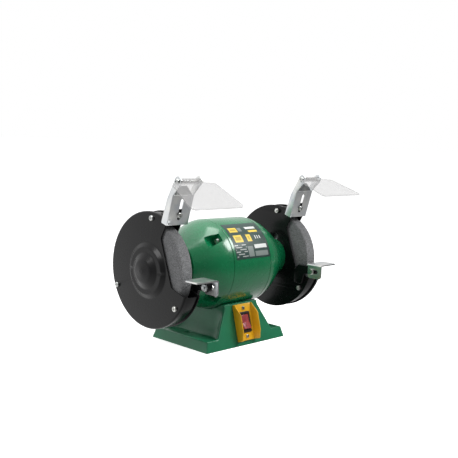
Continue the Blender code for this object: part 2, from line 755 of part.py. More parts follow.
def bracket_frame():
    """The web's own frame: its y runs back through the web and its z runs up along it, from the web's foot."""
    y, z = seen_from_front(BRACKET_ANGLE, GUARD_RADIUS - BRACKET_INSET)
    return Matrix.Translation((0, y, z)) @ Matrix.Rotation(BRACKET_LEAN, 4, "X")


BRACKET = bracket_frame()
BRACKET_OUT_X = COVER_OUT_X + BRACKET_PAST_COVER
BRACKET_IN_X = BRACKET_OUT_X - BRACKET_WIDTH
BRACKET_MIDDLE_X = (BRACKET_OUT_X + BRACKET_IN_X) / 2
PIVOT = BRACKET @ Vector((0, -PIVOT_FORWARD, PIVOT_HEIGHT))


def bracket_side():
    """A flange with its ear, as (y, z) points in the bracket's frame."""
    pivot = (-PIVOT_FORWARD, PIVOT_HEIGHT)
    ear = arc(pivot, EAR_RADIUS, math.radians(-15), math.radians(195), 8)
    back = [(BRACKET_DEPTH, 0), (0.85 * BRACKET_DEPTH, 0.8 * WEB_HEIGHT), (0.55 * BRACKET_DEPTH, WEB_HEIGHT + 7 * MM)]
    return [(0, 0), *back, *ear, (0, WEB_HEIGHT)]


def build_brackets():
    deep = 3 * BRACKET_DEPTH
    for word, side in SIDES.items():
        low, high = span(side, BRACKET_IN_X, BRACKET_OUT_X)
        bracket = plate(f"shield_bracket_{word}", bracket_side(), low, high, ZINC, matrix=BRACKET)
        hollow = [(SHEET, -deep), (deep, -deep), (deep, 2 * PIVOT_HEIGHT), (-deep, 2 * PIVOT_HEIGHT),
                  (-deep, WEB_HEIGHT), (SHEET, WEB_HEIGHT)]
        cut(bracket, plate(f"bracket_hollow_{word}", hollow, low + SHEET, high - SHEET, ZINC, matrix=BRACKET))

        # The nose is the web's narrowing top, bent back between the ears.
        middle = side * BRACKET_MIDDLE_X
        half = BRACKET_WIDTH / 2 - SHEET - RUNNING_GAP
        nose = BRACKET @ Matrix.Translation((middle, 0, WEB_HEIGHT - SHEET)) @ Matrix.Rotation(-NOSE_BEND, 4, "X")
        nose = nose @ Matrix.Rotation(math.pi / 2, 4, "X")
        outline = [(-half, -0.2 * MM), (half, -0.2 * MM), (NOSE_WIDTH / 2, NOSE_HEIGHT), (-NOSE_WIDTH / 2, NOSE_HEIGHT)]
        join(bracket, plate(f"nose_{word}", outline, -SHEET, 0, ZINC, matrix=nose, across="Z"))

        web = BRACKET @ Matrix.Translation((middle, 0, 0)) @ Matrix.Rotation(math.pi / 2, 4, "X")
        line = slot((0, SLOT_BOTTOM), (0, SLOT_TOP), BRACKET_SLOT_WIDTH / 2)
        cut(bracket, plate(f"bracket_slot_{word}", line, -4 * SHEET, 2 * SHEET, ZINC, matrix=web, across="Z"))
        eye = rod(f"ear_hole_{word}", PIVOT_RADIUS + GAP, low - MM, high + MM, ZINC,
                  (0, -PIVOT_FORWARD, PIVOT_HEIGHT), COARSE, matrix=BRACKET)
        cut(bracket, eye)


def build_shield_tabs():
    """The lug on each guard band that its bracket is screwed to."""
    front = SHEET + 1.3 * GAP
    upright = [(front, 4 * MM), (front, TAB_HEIGHT), (front + TAB_THICKNESS, TAB_HEIGHT), (front + TAB_THICKNESS, 9 * MM)]
    upright = [(BRACKET @ Vector((0, *p))).yz for p in upright]
    foot_inside, foot_outside = BAND_RADIUS + GAP, BAND_RADIUS + GAP + TAB_THICKNESS
    start = OPENING_TOP + math.radians(4.5)
    foot = [seen_from_front(start + math.radians(a), foot_outside) for a in (2, 7, 13)]
    foot += [seen_from_front(start + math.radians(a), foot_inside) for a in (13, 7, 0)]
    outline = [tuple(p) for p in upright] + foot
    for word, side in SIDES.items():
        low, high = span(side, BRACKET_MIDDLE_X - TAB_WIDTH / 2, BRACKET_MIDDLE_X + TAB_WIDTH / 2)
        tab = plate(f"shield_tab_{word}", outline, low, high, BLACK)
        turn = BRACKET @ Matrix.Translation((side * BRACKET_MIDDLE_X, 0, ADJUST_BOLT_HEIGHT))
        hole = rod(f"tab_hole_{word}", ADJUST_BOLT_RADIUS + GAP, -6 * MM, 12 * MM, BLACK, (0, 0, 0), COARSE, "Y", turn)
        cut(tab, hole)


def build_adjust_bolts():
    for word, side in SIDES.items():
        place = BRACKET @ Matrix.Translation((side * BRACKET_MIDDLE_X, 0, ADJUST_BOLT_HEIGHT))
        place = place @ Matrix.Rotation(math.pi / 2, 4, "Z")
        back = SHEET + 1.3 * GAP + TAB_THICKNESS + GAP
        nut = (back + 4 * MM, back, 4.4 * MM)
        fastener(f"bracket_bolt_{word}", ADJUST_BOLT_RADIUS, -GAP, back + 6 * MM, 4.6 * MM, 2.6 * MM, (0, 0, 0), ZINC,
                 (nut[1], nut[0], nut[2]), matrix=place)


def build_pivot_bolts():
    for word, side in SIDES.items():
        middle = side * BRACKET_MIDDLE_X
        half = BRACKET_WIDTH / 2
        near, far = middle - half - GAP, middle + half + 7 * MM
        nut = (middle + half + GAP, middle + half + 4.3 * MM, 4.4 * MM)
        fastener(f"pivot_bolt_{word}", PIVOT_RADIUS, near, far, 4.6 * MM, 3.2 * MM, (0, PIVOT.y, PIVOT.z), ZINC, nut)


def shield_frame(word):
    """The shield's frame: x across, y back from the pivot and z up through the sheet."""
    middle = SIDES[word] * BRACKET_MIDDLE_X
    return Matrix.Translation((middle, PIVOT.y, PIVOT.z)) @ Matrix.Rotation(SHIELD_TILT[word], 4, "X")


def build_shields():
    half_barrel = BRACKET_WIDTH / 2 - SHEET - RUNNING_GAP
    back, front = SHIELD_BACK_HALF_WIDTH, SHIELD_FRONT_HALF_WIDTH
    clear = EAR_RADIUS + RUNNING_GAP + MM
    corner = 4 * MM
    right = [
        (half_barrel, 0),
        (half_barrel, -clear),
        (back - corner, -SHIELD_SHOULDER - MM),
        (back, -SHIELD_SHOULDER - corner),
        (front, -SHIELD_LENGTH + corner),
        (front - corner, -SHIELD_LENGTH),
    ]
    outline = right + [(-x, y) for x, y in reversed(right)]
    top = SHIELD_BARREL_RADIUS
    for word in SIDES:
        frame = shield_frame(word)
        sheet = plate(f"eye_shield_{word}", outline, top - SHIELD_THICKNESS, top, CLEAR, matrix=frame, across="Z")
        barrel = rod(f"barrel_{word}", SHIELD_BARREL_RADIUS, -half_barrel, half_barrel, CLEAR, (0, 0, 0), 16,
                     matrix=frame)
        bore = rod(f"barrel_bore_{word}", PIVOT_RADIUS + GAP, -2 * half_barrel, 2 * half_barrel, CLEAR, (0, 0, 0),
                   COARSE, matrix=frame)
        cut(join(sheet, barrel), bore)


# The tool rests

REST_BOLT_Y = -(WHEEL_RADIUS + REST_BOLT_FORWARD)
REST_BOLT_Z = SHAFT_HEIGHT - REST_BOLT_DROP
ARM_OUT_X = PLATE_X - GAP
ARM_IN_X = ARM_OUT_X - ARM_THICKNESS
FLANGE_OUT_X = ARM_IN_X - GAP
FLANGE_IN_X = FLANGE_OUT_X - REST_THICKNESS


def build_rest_arms():
    """The black arm that reaches forward from the guard's plate and carries the tool rest."""
    half = ARM_HEIGHT / 2
    tip = (REST_BOLT_Y, REST_BOLT_Z)
    nose = arc(tip, half, math.radians(90), math.radians(255), 8)
    root_y, foot_z = -(WHEEL_RADIUS - 17 * MM), SHAFT_HEIGHT - ARM_FOOT_DROP
    foot = [(root_y - 22 * MM, foot_z + 20 * MM), (root_y - 16 * MM, foot_z), (root_y, foot_z + 2 * MM)]
    outline = nose + foot + [(root_y, REST_BOLT_Z - half + 2 * MM), (root_y - 6 * MM, REST_BOLT_Z + half)]
    for word, side in SIDES.items():
        low, high = span(side, ARM_IN_X, ARM_OUT_X)
        plate(f"rest_arm_{word}", outline, low, high, BLACK, [ring(tip, REST_BOLT_RADIUS + GAP, COARSE)])


def build_tool_rests():
    top = SHAFT_HEIGHT - REST_TOP_DROP
    flange_top, flange_bottom = top - REST_THICKNESS / 2, top - REST_FLANGE_HEIGHT
    corner = 5 * MM
    for word, side in SIDES.items():
        back = -(WHEEL_RADIUS + REST_WHEEL_GAP[word])
        front = back - REST_DEPTH
        flange_back = front + REST_FLANGE_REACH
        outline = [(flange_back, flange_top), (front, flange_top), (front, flange_bottom + corner),
                   (front + corner, flange_bottom), (flange_back - corner, flange_bottom),
                   (flange_back, flange_bottom + corner)]
        reach = REST_SLOT_LENGTH / 2 - REST_SLOT_WIDTH / 2
        middle = front + REST_SLOT_SETBACK
        hole = slot((middle - reach, REST_BOLT_Z), (middle + reach, REST_BOLT_Z), REST_SLOT_WIDTH / 2)
        low, high = span(side, FLANGE_IN_X, FLANGE_OUT_X)
        flange = plate(f"tool_rest_{word}", outline, low, high, ZINC, [hole])
        near, far = side * FLANGE_IN_X, side * (FLANGE_IN_X + REST_WIDTH)
        bend = side * corner
        table = [(near, back), (near, front), (far - bend, front), (far, front + corner), (far, back + corner),
                 (far - bend, back)]
        join(flange, plate(f"rest_table_{word}", table, top - REST_THICKNESS, top, ZINC, across="Z"))


def build_rest_bolts():
    near, far = FLANGE_IN_X - GAP, ARM_OUT_X + 7 * MM
    nut = (ARM_OUT_X + GAP, ARM_OUT_X + 5 * MM, 5.6 * MM)
    for word, side in SIDES.items():
        fastener(f"rest_bolt_{word}", REST_BOLT_RADIUS, near, far, 5.6 * MM, 4 * MM, (0, REST_BOLT_Y, REST_BOLT_Z),
                 ZINC, nut, side)


# The foot


def face_frame(facing, height):
    """The frame of the foot's sloping front (-1) or back (+1): x across, y out of the face and z up along it."""
    turn = Matrix.Rotation(0 if facing > 0 else math.pi, 4, "Z")
    out = FOOT_WIDTH / 2 - DRAFT * height
    return turn @ Matrix.Translation((0, out, height)) @ Matrix.Rotation(LEAN, 4, "X")


SWITCH = face_frame(-1, SWITCH_HEIGHT)


def panel(name, facing):
    """The broad sloping wall at the front and the back of the pedestal."""
    frame = face_frame(facing, 0) @ Matrix.Rotation(math.pi / 2, 4, "X")
    stretch = 1 / math.cos(LEAN)
    low, high = 0.5 * FOOT_HEIGHT, SHAFT_HEIGHT - BODY_RADIUS + CRADLE_RISE

    def half_width(height):
        return PANEL_HALF_LENGTH - PANEL_TAPER * (height - FOOT_HEIGHT)

    outline = [(-half_width(FOOT_HEIGHT), low * stretch), (half_width(FOOT_HEIGHT), low * stretch),
               (half_width(FOOT_HEIGHT), FOOT_HEIGHT * stretch), (half_width(high), high * stretch),
               (-half_width(high), high * stretch), (-half_width(FOOT_HEIGHT), FOOT_HEIGHT * stretch)]
    return plate(name, outline, PANEL_INSET, PANEL_THICKNESS, GREEN, matrix=frame, across="Z")


def build_foot():
    half_x, half_y = FOOT_LENGTH / 2, FOOT_WIDTH / 2
    in_x, in_y = half_x - DRAFT * FOOT_HEIGHT, half_y - DRAFT * FOOT_HEIGHT
    foot = frustum("pedestal", (half_x, half_y, 0), (in_x, in_y, FOOT_HEIGHT), GREEN)
    floor = FOOT_HEIGHT - POCKET_DEPTH
    for word, side in SIDES.items():
        near, far = span(side, 0.9 * PEDESTAL_HALF_LENGTH, in_x - FOOT_RIM)
        reach = in_y - FOOT_RIM
        cut(foot, block(f"pocket_{word}", (near, -reach, floor), (far, reach, 2 * FOOT_HEIGHT), GREEN))

    top = SHAFT_HEIGHT - BODY_RADIUS + CRADLE_RISE
    core = frustum("pedestal_core", (PEDESTAL_HALF_LENGTH, half_y - DRAFT * floor - MM, floor - MM),
                   (PEDESTAL_TOP_HALF_LENGTH, half_y - DRAFT * top - MM, top), GREEN)
    join(foot, core, panel("front_panel", -1), panel("back_panel", 1))
    cut(foot, rod("cradle", BODY_RADIUS + GAP, -FOOT_LENGTH, FOOT_LENGTH, GREEN, sides=2 * FINE))

    # The castings' underside is open: a shallow tray, and the wiring space above it.
    tray_top = floor - FOOT_WALL
    low_in, high_in = FOOT_WALL - DRAFT * MM, FOOT_WALL + DRAFT * tray_top
    cut(foot, frustum("tray", (half_x - low_in, half_y - low_in, -MM), (half_x - high_in, half_y - high_in, tray_top),
                      GREEN))
    roof = SHAFT_HEIGHT - BODY_RADIUS - FOOT_WALL - MM
    wall = FOOT_WALL + MM
    cut(foot, frustum("wiring_space", (PEDESTAL_HALF_LENGTH - wall, half_y - PANEL_THICKNESS, tray_top - MM),
                      (PEDESTAL_TOP_HALF_LENGTH - wall, half_y - DRAFT * roof - PANEL_THICKNESS, roof), GREEN))
    for word, side in SIDES.items():
        centre = (side * BENCH_HOLE_SPACING / 2, BENCH_HOLE_SETBACK, 0)
        cut(foot, rod(f"bench_hole_{word}", BENCH_HOLE_RADIUS, -MM, FOOT_HEIGHT, GREEN, centre, 16, "Z"))
    cut(foot, rod("cradle_wire_hole", 7 * MM, roof - MM, roof + 3 * FOOT_WALL, GREEN, (0, 0, 0), COARSE, "Z"))
    half_w, half_h = SWITCH_BODY_WIDTH / 2 + RUNNING_GAP, SWITCH_BODY_HEIGHT / 2 + RUNNING_GAP
    deep = 3 * PANEL_THICKNESS
    cut(foot, block("switch_cutout", (-half_w, -deep, -half_h), (half_w, deep, half_h), GREEN, SWITCH))
    gland = face_frame(1, GLAND_HEIGHT)
    cut(foot, rod("gland_hole", GLAND_NECK_RADIUS + GAP, -deep, deep, GREEN, (0, 0, 0), MEDIUM, "Y", gland))


def build_bottom_plate():
    margin = FOOT_WALL + DRAFT * BOTTOM_SHEET + GAP
    half_x, half_y = FOOT_LENGTH / 2 - margin, FOOT_WIDTH / 2 - margin
    outline = [(-half_x, -half_y), (half_x, -half_y), (half_x, half_y), (-half_x, half_y)]
    holes = [ring((side * BENCH_HOLE_SPACING / 2, BENCH_HOLE_SETBACK), BENCH_HOLE_RADIUS, 16) for side in SIDES.values()]
    plate("bottom_plate", outline, 0, BOTTOM_SHEET, ZINC, holes, across="Z")


# The switch and the wiring


def build_switch():
    half_w, half_h = BEZEL_WIDTH / 2, BEZEL_HEIGHT / 2
    back = GAP
    front = back + BEZEL_THICKNESS
    bezel = block("switch_bezel", (-half_w, back, -half_h), (half_w, front, half_h), YELLOW, SWITCH)
    tip = front + CHEEK_HEIGHT
    end = half_h - 0.4 * MM
    cheek = [(back + MM, -end), (back + MM, end), (front + MM, end), (tip, 0.45 * end), (tip, -0.5 * end),
             (front + 0.75 * CHEEK_HEIGHT, -end)]
    for word, side in SIDES.items():
        low, high = span(side, half_w - CHEEK_THICKNESS, half_w + 0.2 * MM)
        join(bezel, plate(f"cheek_{word}", cheek, low, high, YELLOW, matrix=SWITCH))
    cut_w, cut_h = SWITCH_BODY_WIDTH / 2 + RUNNING_GAP, SWITCH_BODY_HEIGHT / 2 + RUNNING_GAP
    cut(bezel, block("bezel_window", (-cut_w, -front, -cut_h), (cut_w, 2 * front, cut_h), YELLOW, SWITCH))

    # The housing's frame stands on the bezel, and its box hangs behind it.
    half_w, half_h = SWITCH_FRAME_WIDTH / 2, SWITCH_FRAME_HEIGHT / 2
    seat = front + GAP
    lip = seat + SWITCH_FRAME_THICKNESS
    body = block("switch_housing", (-half_w, seat, -half_h), (half_w, lip, half_h), DARK_PLASTIC, SWITCH)
    half_w, half_h = SWITCH_BODY_WIDTH / 2, SWITCH_BODY_HEIGHT / 2
    join(body, block("housing_box", (-half_w, seat - SWITCH_BODY_DEPTH, -half_h), (half_w, seat + 0.5 * MM, half_h),
                     DARK_PLASTIC, SWITCH))
    half_w, half_h = ROCKER_WIDTH / 2 + RUNNING_GAP, ROCKER_HEIGHT / 2 + 1.2 * MM
    well = lip - ROCKER_THICKNESS - 2.5 * MM
    cut(body, block("rocker_well", (-half_w, well, -half_h), (half_w, 2 * lip, half_h), DARK_PLASTIC, SWITCH))

    # The rocker turns about X in the middle of its well, and rests with its upper end pressed in.
    axis_y = lip - 0.35 * ROCKER_THICKNESS
    place = SWITCH @ Matrix.Translation((0, axis_y, 0)) @ Matrix.Rotation(ROCKER_THROW, 4, "X")
    half_h, rise = ROCKER_HEIGHT / 2, 0.42 * ROCKER_THICKNESS
    outline = [(rise + 1.2 * MM, -half_h), (rise, -0.5 * half_h), (rise - 0.6 * MM, 0), (rise, 0.5 * half_h),
               (rise + 1.2 * MM, half_h), (-0.1 * ROCKER_THICKNESS, half_h), (-0.55 * ROCKER_THICKNESS, 0),
               (-0.1 * ROCKER_THICKNESS, -half_h)]
    plate("rocker", outline, -ROCKER_WIDTH / 2, ROCKER_WIDTH / 2, RED, matrix=place)
    return SWITCH @ Vector((0, axis_y, 0))


def build_wiring():
    base = BOTTOM_SHEET + GAP
    half = CAPACITOR_LENGTH / 2
    rod("capacitor", CAPACITOR_RADIUS, -half, half, DARK_PLASTIC, (0, FOOT_WIDTH / 5, base + CAPACITOR_RADIUS))
    frame = face_frame(1, GLAND_HEIGHT) @ Matrix.Rotation(math.pi / 2, 4, "Z")
    profile = [
        (GAP, GLAND_RADIUS),
        (GLAND_LIP, GLAND_RADIUS - MM),
        (GLAND_LIP + MM, GLAND_BORE_RADIUS + 1.5 * MM),
        (GLAND_LIP + MM, GLAND_BORE_RADIUS),
        (-PANEL_THICKNESS, GLAND_BORE_RADIUS),
        (-PANEL_THICKNESS, GLAND_NECK_RADIUS),
        (GAP, GLAND_NECK_RADIUS),
    ]
    turned("cable_gland", profile[::-1], RUBBER, centre=(0, 0, 0), steps=16, closed=True, matrix=frame)


# What moves


def hang(name, place, *pieces):
    """Parents pieces, where they are, to an empty on the axis that they move about or along."""
    empty = bpy.data.objects.new(name, None)
    empty.empty_display_size = 20 * MM
    empty.location = place
    GRINDER.objects.link(empty)
    bpy.context.view_layer.update()
    for piece in pieces:
        child = bpy.data.objects[piece]
        child.parent = empty
        child.matrix_parent_inverse = empty.matrix_world.inverted()


def hang_moving_pieces(rocker_axis):
    spinning = ["shaft", "rotor_core"]
    for word, side in SIDES.items():
        spinning += [f"{piece}_{word}" for piece in ("grinding_wheel", "inner_flange", "outer_flange", "wheel_nut")]
        spinning.append(f"bearing_inner_{word}")
        hang(f"cage_axis_{word}", AXIS, f"ball_cage_{word}")
        hang(f"rest_axis_{word}", (side * FLANGE_IN_X, REST_BOLT_Y, REST_BOLT_Z), f"tool_rest_{word}", f"rest_bolt_{word}")
        middle = side * BRACKET_MIDDLE_X
        hang(f"bracket_slide_{word}", BRACKET @ Vector((middle, 0, 0)), f"shield_bracket_{word}", f"pivot_bolt_{word}")
        hang(f"shield_axis_{word}", (middle, PIVOT.y, PIVOT.z), f"eye_shield_{word}")
    hang("rotor_axis", AXIS, *spinning)
    hang("rocker_axis", rocker_axis, "rocker")


def shade_round_faces():
    for thing in GRINDER.objects:
        if thing.type == "MESH" and thing.data.polygons:
            thing.data.shade_smooth()
            thing.data.set_sharp_from_angle(angle=SHARP_ANGLE)


build_foot()
build_bottom_plate()
build_shell()
build_bells()
build_tie_bolts()
build_stator()
build_winding()
build_rotor()
build_bearings()
build_wheels()
build_guards()
build_cover_bolts()
build_shield_tabs()
build_brackets()
build_adjust_bolts()
build_pivot_bolts()
build_shields()
build_rest_arms()
build_tool_rests()
build_rest_bolts()
rocker_axis = build_switch()
build_wiring()
hang_moving_pieces(rocker_axis)
shade_round_faces()
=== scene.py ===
import math

import bmesh
import bpy
from mathutils import Matrix, Vector, noise


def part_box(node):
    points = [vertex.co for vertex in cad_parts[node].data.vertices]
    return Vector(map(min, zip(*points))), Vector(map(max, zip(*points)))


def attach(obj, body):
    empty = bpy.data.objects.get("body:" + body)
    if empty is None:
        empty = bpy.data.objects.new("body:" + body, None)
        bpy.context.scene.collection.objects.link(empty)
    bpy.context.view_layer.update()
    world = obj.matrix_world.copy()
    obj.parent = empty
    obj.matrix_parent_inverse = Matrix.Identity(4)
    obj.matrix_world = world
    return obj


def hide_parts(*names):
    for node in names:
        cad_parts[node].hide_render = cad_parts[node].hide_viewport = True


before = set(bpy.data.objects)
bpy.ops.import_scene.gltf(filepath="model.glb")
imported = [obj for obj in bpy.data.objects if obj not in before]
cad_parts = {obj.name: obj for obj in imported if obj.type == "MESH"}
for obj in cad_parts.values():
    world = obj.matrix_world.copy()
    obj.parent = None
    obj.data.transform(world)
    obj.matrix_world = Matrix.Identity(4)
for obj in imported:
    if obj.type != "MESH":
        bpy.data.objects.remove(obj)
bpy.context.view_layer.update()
print("frame loaded:", len(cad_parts), "nodes")

mm = 0.001
sides = {"left": -1, "right": 1}
shaftLow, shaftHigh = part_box("shaft")
shaftHeight = (shaftLow.z + shaftHigh.z) / 2
axis = Vector((0, 0, shaftHeight))


def middleOf(node):
    low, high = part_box(node)
    return (low + high) / 2


# The near and far ends of a node along X, counted outwards from the middle of the motor.
def reachOf(node):
    low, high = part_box(node)
    near, far = sorted((abs(low.x), abs(high.x)))
    return near, far


def keep(name, bm, matrix=None, sharp=32):
    if matrix is not None:
        bmesh.ops.transform(bm, matrix=matrix, verts=bm.verts)
    mesh = bpy.data.meshes.new(name)
    bm.to_mesh(mesh)
    bm.free()
    made = bpy.data.objects.new(name, mesh)
    bpy.context.scene.collection.objects.link(made)
    shade(made, sharp)
    return made


def shade(piece, sharp=32):
    piece.data.shade_smooth()
    piece.data.set_sharp_from_angle(angle=math.radians(sharp))
    return piece


# Turns the evaluated piece, modifiers and place included, into a plain mesh at the origin.
def settle(piece, sharp=32):
    bpy.context.view_layer.update()
    graph = bpy.context.evaluated_depsgraph_get()
    mesh = bpy.data.meshes.new_from_object(piece.evaluated_get(graph))
    mesh.transform(piece.matrix_world)
    name = piece.name
    bpy.data.objects.remove(piece)
    made = bpy.data.objects.new(name, mesh)
    bpy.context.scene.collection.objects.link(made)
    return shade(made, sharp)


# Rounds the corners of an outline of (u, v) or (u, v, radius) points.
def fillet(points, closed=True, steps=4):
    made = []
    count = len(points)
    for i, point in enumerate(points):
        at = Vector(point[:2])
        radius = point[2] if len(point) > 2 else 0
        ends = not closed and i in (0, count - 1)
        toLast = Vector(points[i - 1][:2]) - at
        toNext = Vector(points[(i + 1) % count][:2]) - at
        half = toLast.angle(toNext) / 2 if radius and not ends else 0
        if not radius or ends or half > 1.54:
            made.append(tuple(at))
            continue
        reach = min(radius / math.tan(half), 0.48 * toLast.length, 0.48 * toNext.length)
        bend = reach * math.tan(half)
        split = (toLast.normalized() + toNext.normalized()).normalized()
        centre = at + split * bend / math.sin(half)
        first = at + toLast.normalized() * reach - centre
        last = at + toNext.normalized() * reach - centre
        start = math.atan2(first.y, first.x)
        sweep = (math.atan2(last.y, last.x) - start + math.pi) % (2 * math.pi) - math.pi
        for k in range(steps + 1):
            turn = start + sweep * k / steps
            made.append((centre.x + bend * math.cos(turn), centre.y + bend * math.sin(turn)))
    return made


def arc(centre, radius, start, end, steps):
    turns = [start + (end - start) * i / steps for i in range(steps + 1)]
    return [(centre[0] + radius * math.cos(t), centre[1] + radius * math.sin(t)) for t in turns]


def ring(centre, radius, count=32):
    return arc(centre, radius, 0, 2 * math.pi * (count - 1) / count, count - 1)


def slotOutline(first, second, radius, count=10):
    heading = math.atan2(second[1] - first[1], second[0] - first[0])
    quarter = math.pi / 2
    return arc(second, radius, heading - quarter, heading + quarter, count) + arc(
        first, radius, heading + quarter, heading + 3 * quarter, count
    )


# Turns (x, radius) points about the shaft's axis. A closed profile makes a ring.
def turned(name, profile, side=1, steps=144, closed=True, centre=None, matrix=None, sharp=32):
    middle = axis if centre is None else centre
    place = Matrix.Translation(middle) @ Matrix.Diagonal((side, 1, 1, 1))
    bm = bmesh.new()
    rings = []
    for along, radius in profile:
        if radius < 1e-7:
            rings.append([bm.verts.new((along, 0, 0))])
            continue
        turns = [2 * math.pi * i / steps for i in range(steps)]
        spots = [(along, radius * math.cos(t), radius * math.sin(t)) for t in turns]
        rings.append([bm.verts.new(spot) for spot in spots])
    pairs = list(zip(rings, rings[1:]))
    if closed:
        pairs.append((rings[-1], rings[0]))
    for one, two in pairs:
        for i in range(steps):
            j = (i + 1) % steps
            corners = [one[i % len(one)], one[j % len(one)], two[j % len(two)], two[i % len(two)]]
            corners = list(dict.fromkeys(corners))
            if len(corners) > 2:
                bm.faces.new(corners)
    bmesh.ops.transform(bm, matrix=place, verts=bm.verts)
    bmesh.ops.recalc_face_normals(bm, faces=bm.faces)
    return keep(name, bm, matrix, sharp)


flatFrames = {
    "X": Matrix(((0, 0, 1, 0), (1, 0, 0, 0), (0, 1, 0, 0), (0, 0, 0, 1))),
    "Y": Matrix(((1, 0, 0, 0), (0, 0, -1, 0), (0, 1, 0, 0), (0, 0, 0, 1))),
    "Z": Matrix(),
}


# A flat piece between two places along X, Y or Z, whose rims are rounded by edge.
def slab(name, outline, low, high, holes=(), across="X", edge=0.0, matrix=None, sharp=32):
    curve = bpy.data.curves.new(name, "CURVE")
    curve.dimensions = "2D"
    curve.fill_mode = "BOTH"
    curve.extrude = abs(high - low) / 2 - edge
    curve.bevel_depth = edge
    curve.bevel_resolution = 2 if edge else 0
    curve.offset = -edge
    for loop in (outline, *holes):
        spline = curve.splines.new("POLY")
        spline.points.add(len(loop) - 1)
        for point, (u, v) in zip(spline.points, loop):
            point.co = (u, v, 0, 1)
        spline.use_cyclic_u = True
    drawn = bpy.data.objects.new(name, curve)
    bpy.context.scene.collection.objects.link(drawn)
    bpy.context.view_layer.update()
    graph = bpy.context.evaluated_depsgraph_get()
    mesh = bpy.data.meshes.new_from_object(drawn.evaluated_get(graph))
    bpy.data.objects.remove(drawn)
    bm = bmesh.new()
    bm.from_mesh(mesh)
    bmesh.ops.remove_doubles(bm, verts=bm.verts, dist=1e-6)
    sign = -1 if across == "Y" else 1
    place = flatFrames[across] @ Matrix.Translation((0, 0, sign * (low + high) / 2))
    bmesh.ops.transform(bm, matrix=place, verts=bm.verts)
    bmesh.ops.recalc_face_normals(bm, faces=bm.faces)
    return keep(name, bm, matrix, sharp)


def brick(name, low, high, matrix=None):
    bm = bmesh.new()
    bmesh.ops.create_cube(bm, size=1)
    size = Vector(high) - Vector(low)
    middle = (Vector(high) + Vector(low)) / 2
    bmesh.ops.transform(bm, matrix=Matrix.Translation(middle) @ Matrix.Diagonal((*size, 1)),
                        verts=bm.verts)
    return keep(name, bm, matrix)


# A plain round bar, used to cut and to join.
def rod(name, radius, low, high, across="X", centre=None, matrix=None, steps=48):
    bm = bmesh.new()
    bmesh.ops.create_cone(bm, cap_ends=True, segments=steps, radius1=radius, radius2=radius,
                          depth=high - low)
    turn = {"X": Matrix.Rotation(math.pi / 2, 4, "Y"), "Y": Matrix.Rotation(-math.pi / 2, 4, "X"),
            "Z": Matrix()}
    along = {"X": Vector((1, 0, 0)), "Y": Vector((0, 1, 0)), "Z": Vector((0, 0, 1))}[across]
    at = Vector(centre or (0, 0, 0)) + along * (low + high) / 2
    bmesh.ops.transform(bm, matrix=Matrix.Translation(at) @ turn[across], verts=bm.verts)
    return keep(name, bm, matrix)


# Cuts, joins or intersects, and keeps the result as a plain mesh.
def shaped(piece, operation, *tools, sharp=32):
    for tool in tools:
        modifier = piece.modifiers.new("shape", "BOOLEAN")
        modifier.operation = operation
        modifier.solver = "EXACT"
        modifier.object = tool
    piece = settle(piece, sharp)
    for tool in tools:
        bpy.data.objects.remove(tool)
    return piece


def softened(piece, width, segments=2, angle=35, sharp=32):
    bm = bmesh.new()
    bm.from_mesh(piece.data)
    bmesh.ops.remove_doubles(bm, verts=bm.verts, dist=2e-6)
    bmesh.ops.dissolve_limit(bm, angle_limit=math.radians(0.5), verts=bm.verts, edges=bm.edges)
    bm.to_mesh(piece.data)
    bm.free()
    bevel = piece.modifiers.new("soften", "BEVEL")
    bevel.width = width
    bevel.segments = segments
    bevel.limit_method = "ANGLE"
    bevel.angle_limit = math.radians(angle)
    bevel.use_clamp_overlap = True
    return settle(piece, sharp)


# A socket that adds Math nodes when it is added, multiplied or compared.
class Wire:
    def __init__(self, graph, socket):
        self.graph = graph
        self.socket = socket

    def math(self, operation, other=0.0, swap=False):
        values = [other, self] if swap else [self, other]
        return self.graph.node("ShaderNodeMath", {"operation": operation},
                               {0: values[0], 1: values[1]})

    def __add__(self, other):
        return self.math("ADD", other)

    def __sub__(self, other):
        return self.math("SUBTRACT", other)

    def __mul__(self, other):
        return self.math("MULTIPLY", other)

    def __truediv__(self, other):
        return self.math("DIVIDE", other)

    def __rsub__(self, other):
        return self.math("SUBTRACT", other, swap=True)

    def __rtruediv__(self, other):
        return self.math("DIVIDE", other, swap=True)

    def __gt__(self, other):
        return self.math("GREATER_THAN", other)

    def __lt__(self, other):
        return self.math("LESS_THAN", other)

    def __abs__(self):
        return self.math("ABSOLUTE")

    __radd__ = __add__
    __rmul__ = __mul__


class Graph:
    # A node tree, the one way its nodes are made, and the node that ends it.

    def __init__(self, tree, last):
        self.tree = tree
        self.last = tree.nodes[last]

    def set(self, word, value):
        socket = self.last.inputs[word]
        if isinstance(value, Wire):
            self.tree.links.new(value.socket, socket)
        else:
            socket.default_value = value

    def node(self, kind, settings=None, inputs=None, output=0):
        made = self.tree.nodes.new(kind)
        for word, value in (settings or {}).items():
            if word == "stops":
                self.stops(made.color_ramp, value)
            else:
                setattr(made, word, value)
        for key, value in (inputs or {}).items():
            if isinstance(value, Wire):
                self.tree.links.new(value.socket, made.inputs[key])
            else:
                made.inputs[key].default_value = value
        return Wire(self, made.outputs[output])

    def stops(self, ramp, stops):
        while len(ramp.elements) < len(stops):
            ramp.elements.new(1)
        for element, (position, colour) in zip(ramp.elements, stops):
            element.position = position
            element.color = colour

    def ramp(self, value, *stops):
        return self.node("ShaderNodeValToRGB", {"stops": stops}, {"Fac": value})

    def blend(self, factor, one, two):
        one, two = [value if isinstance(value, Wire) else (*value[:3], 1) for value in (one, two)]
        return self.node("ShaderNodeMix", {"data_type": "RGBA"}, {0: factor, 6: one, 7: two},
                         output=2)


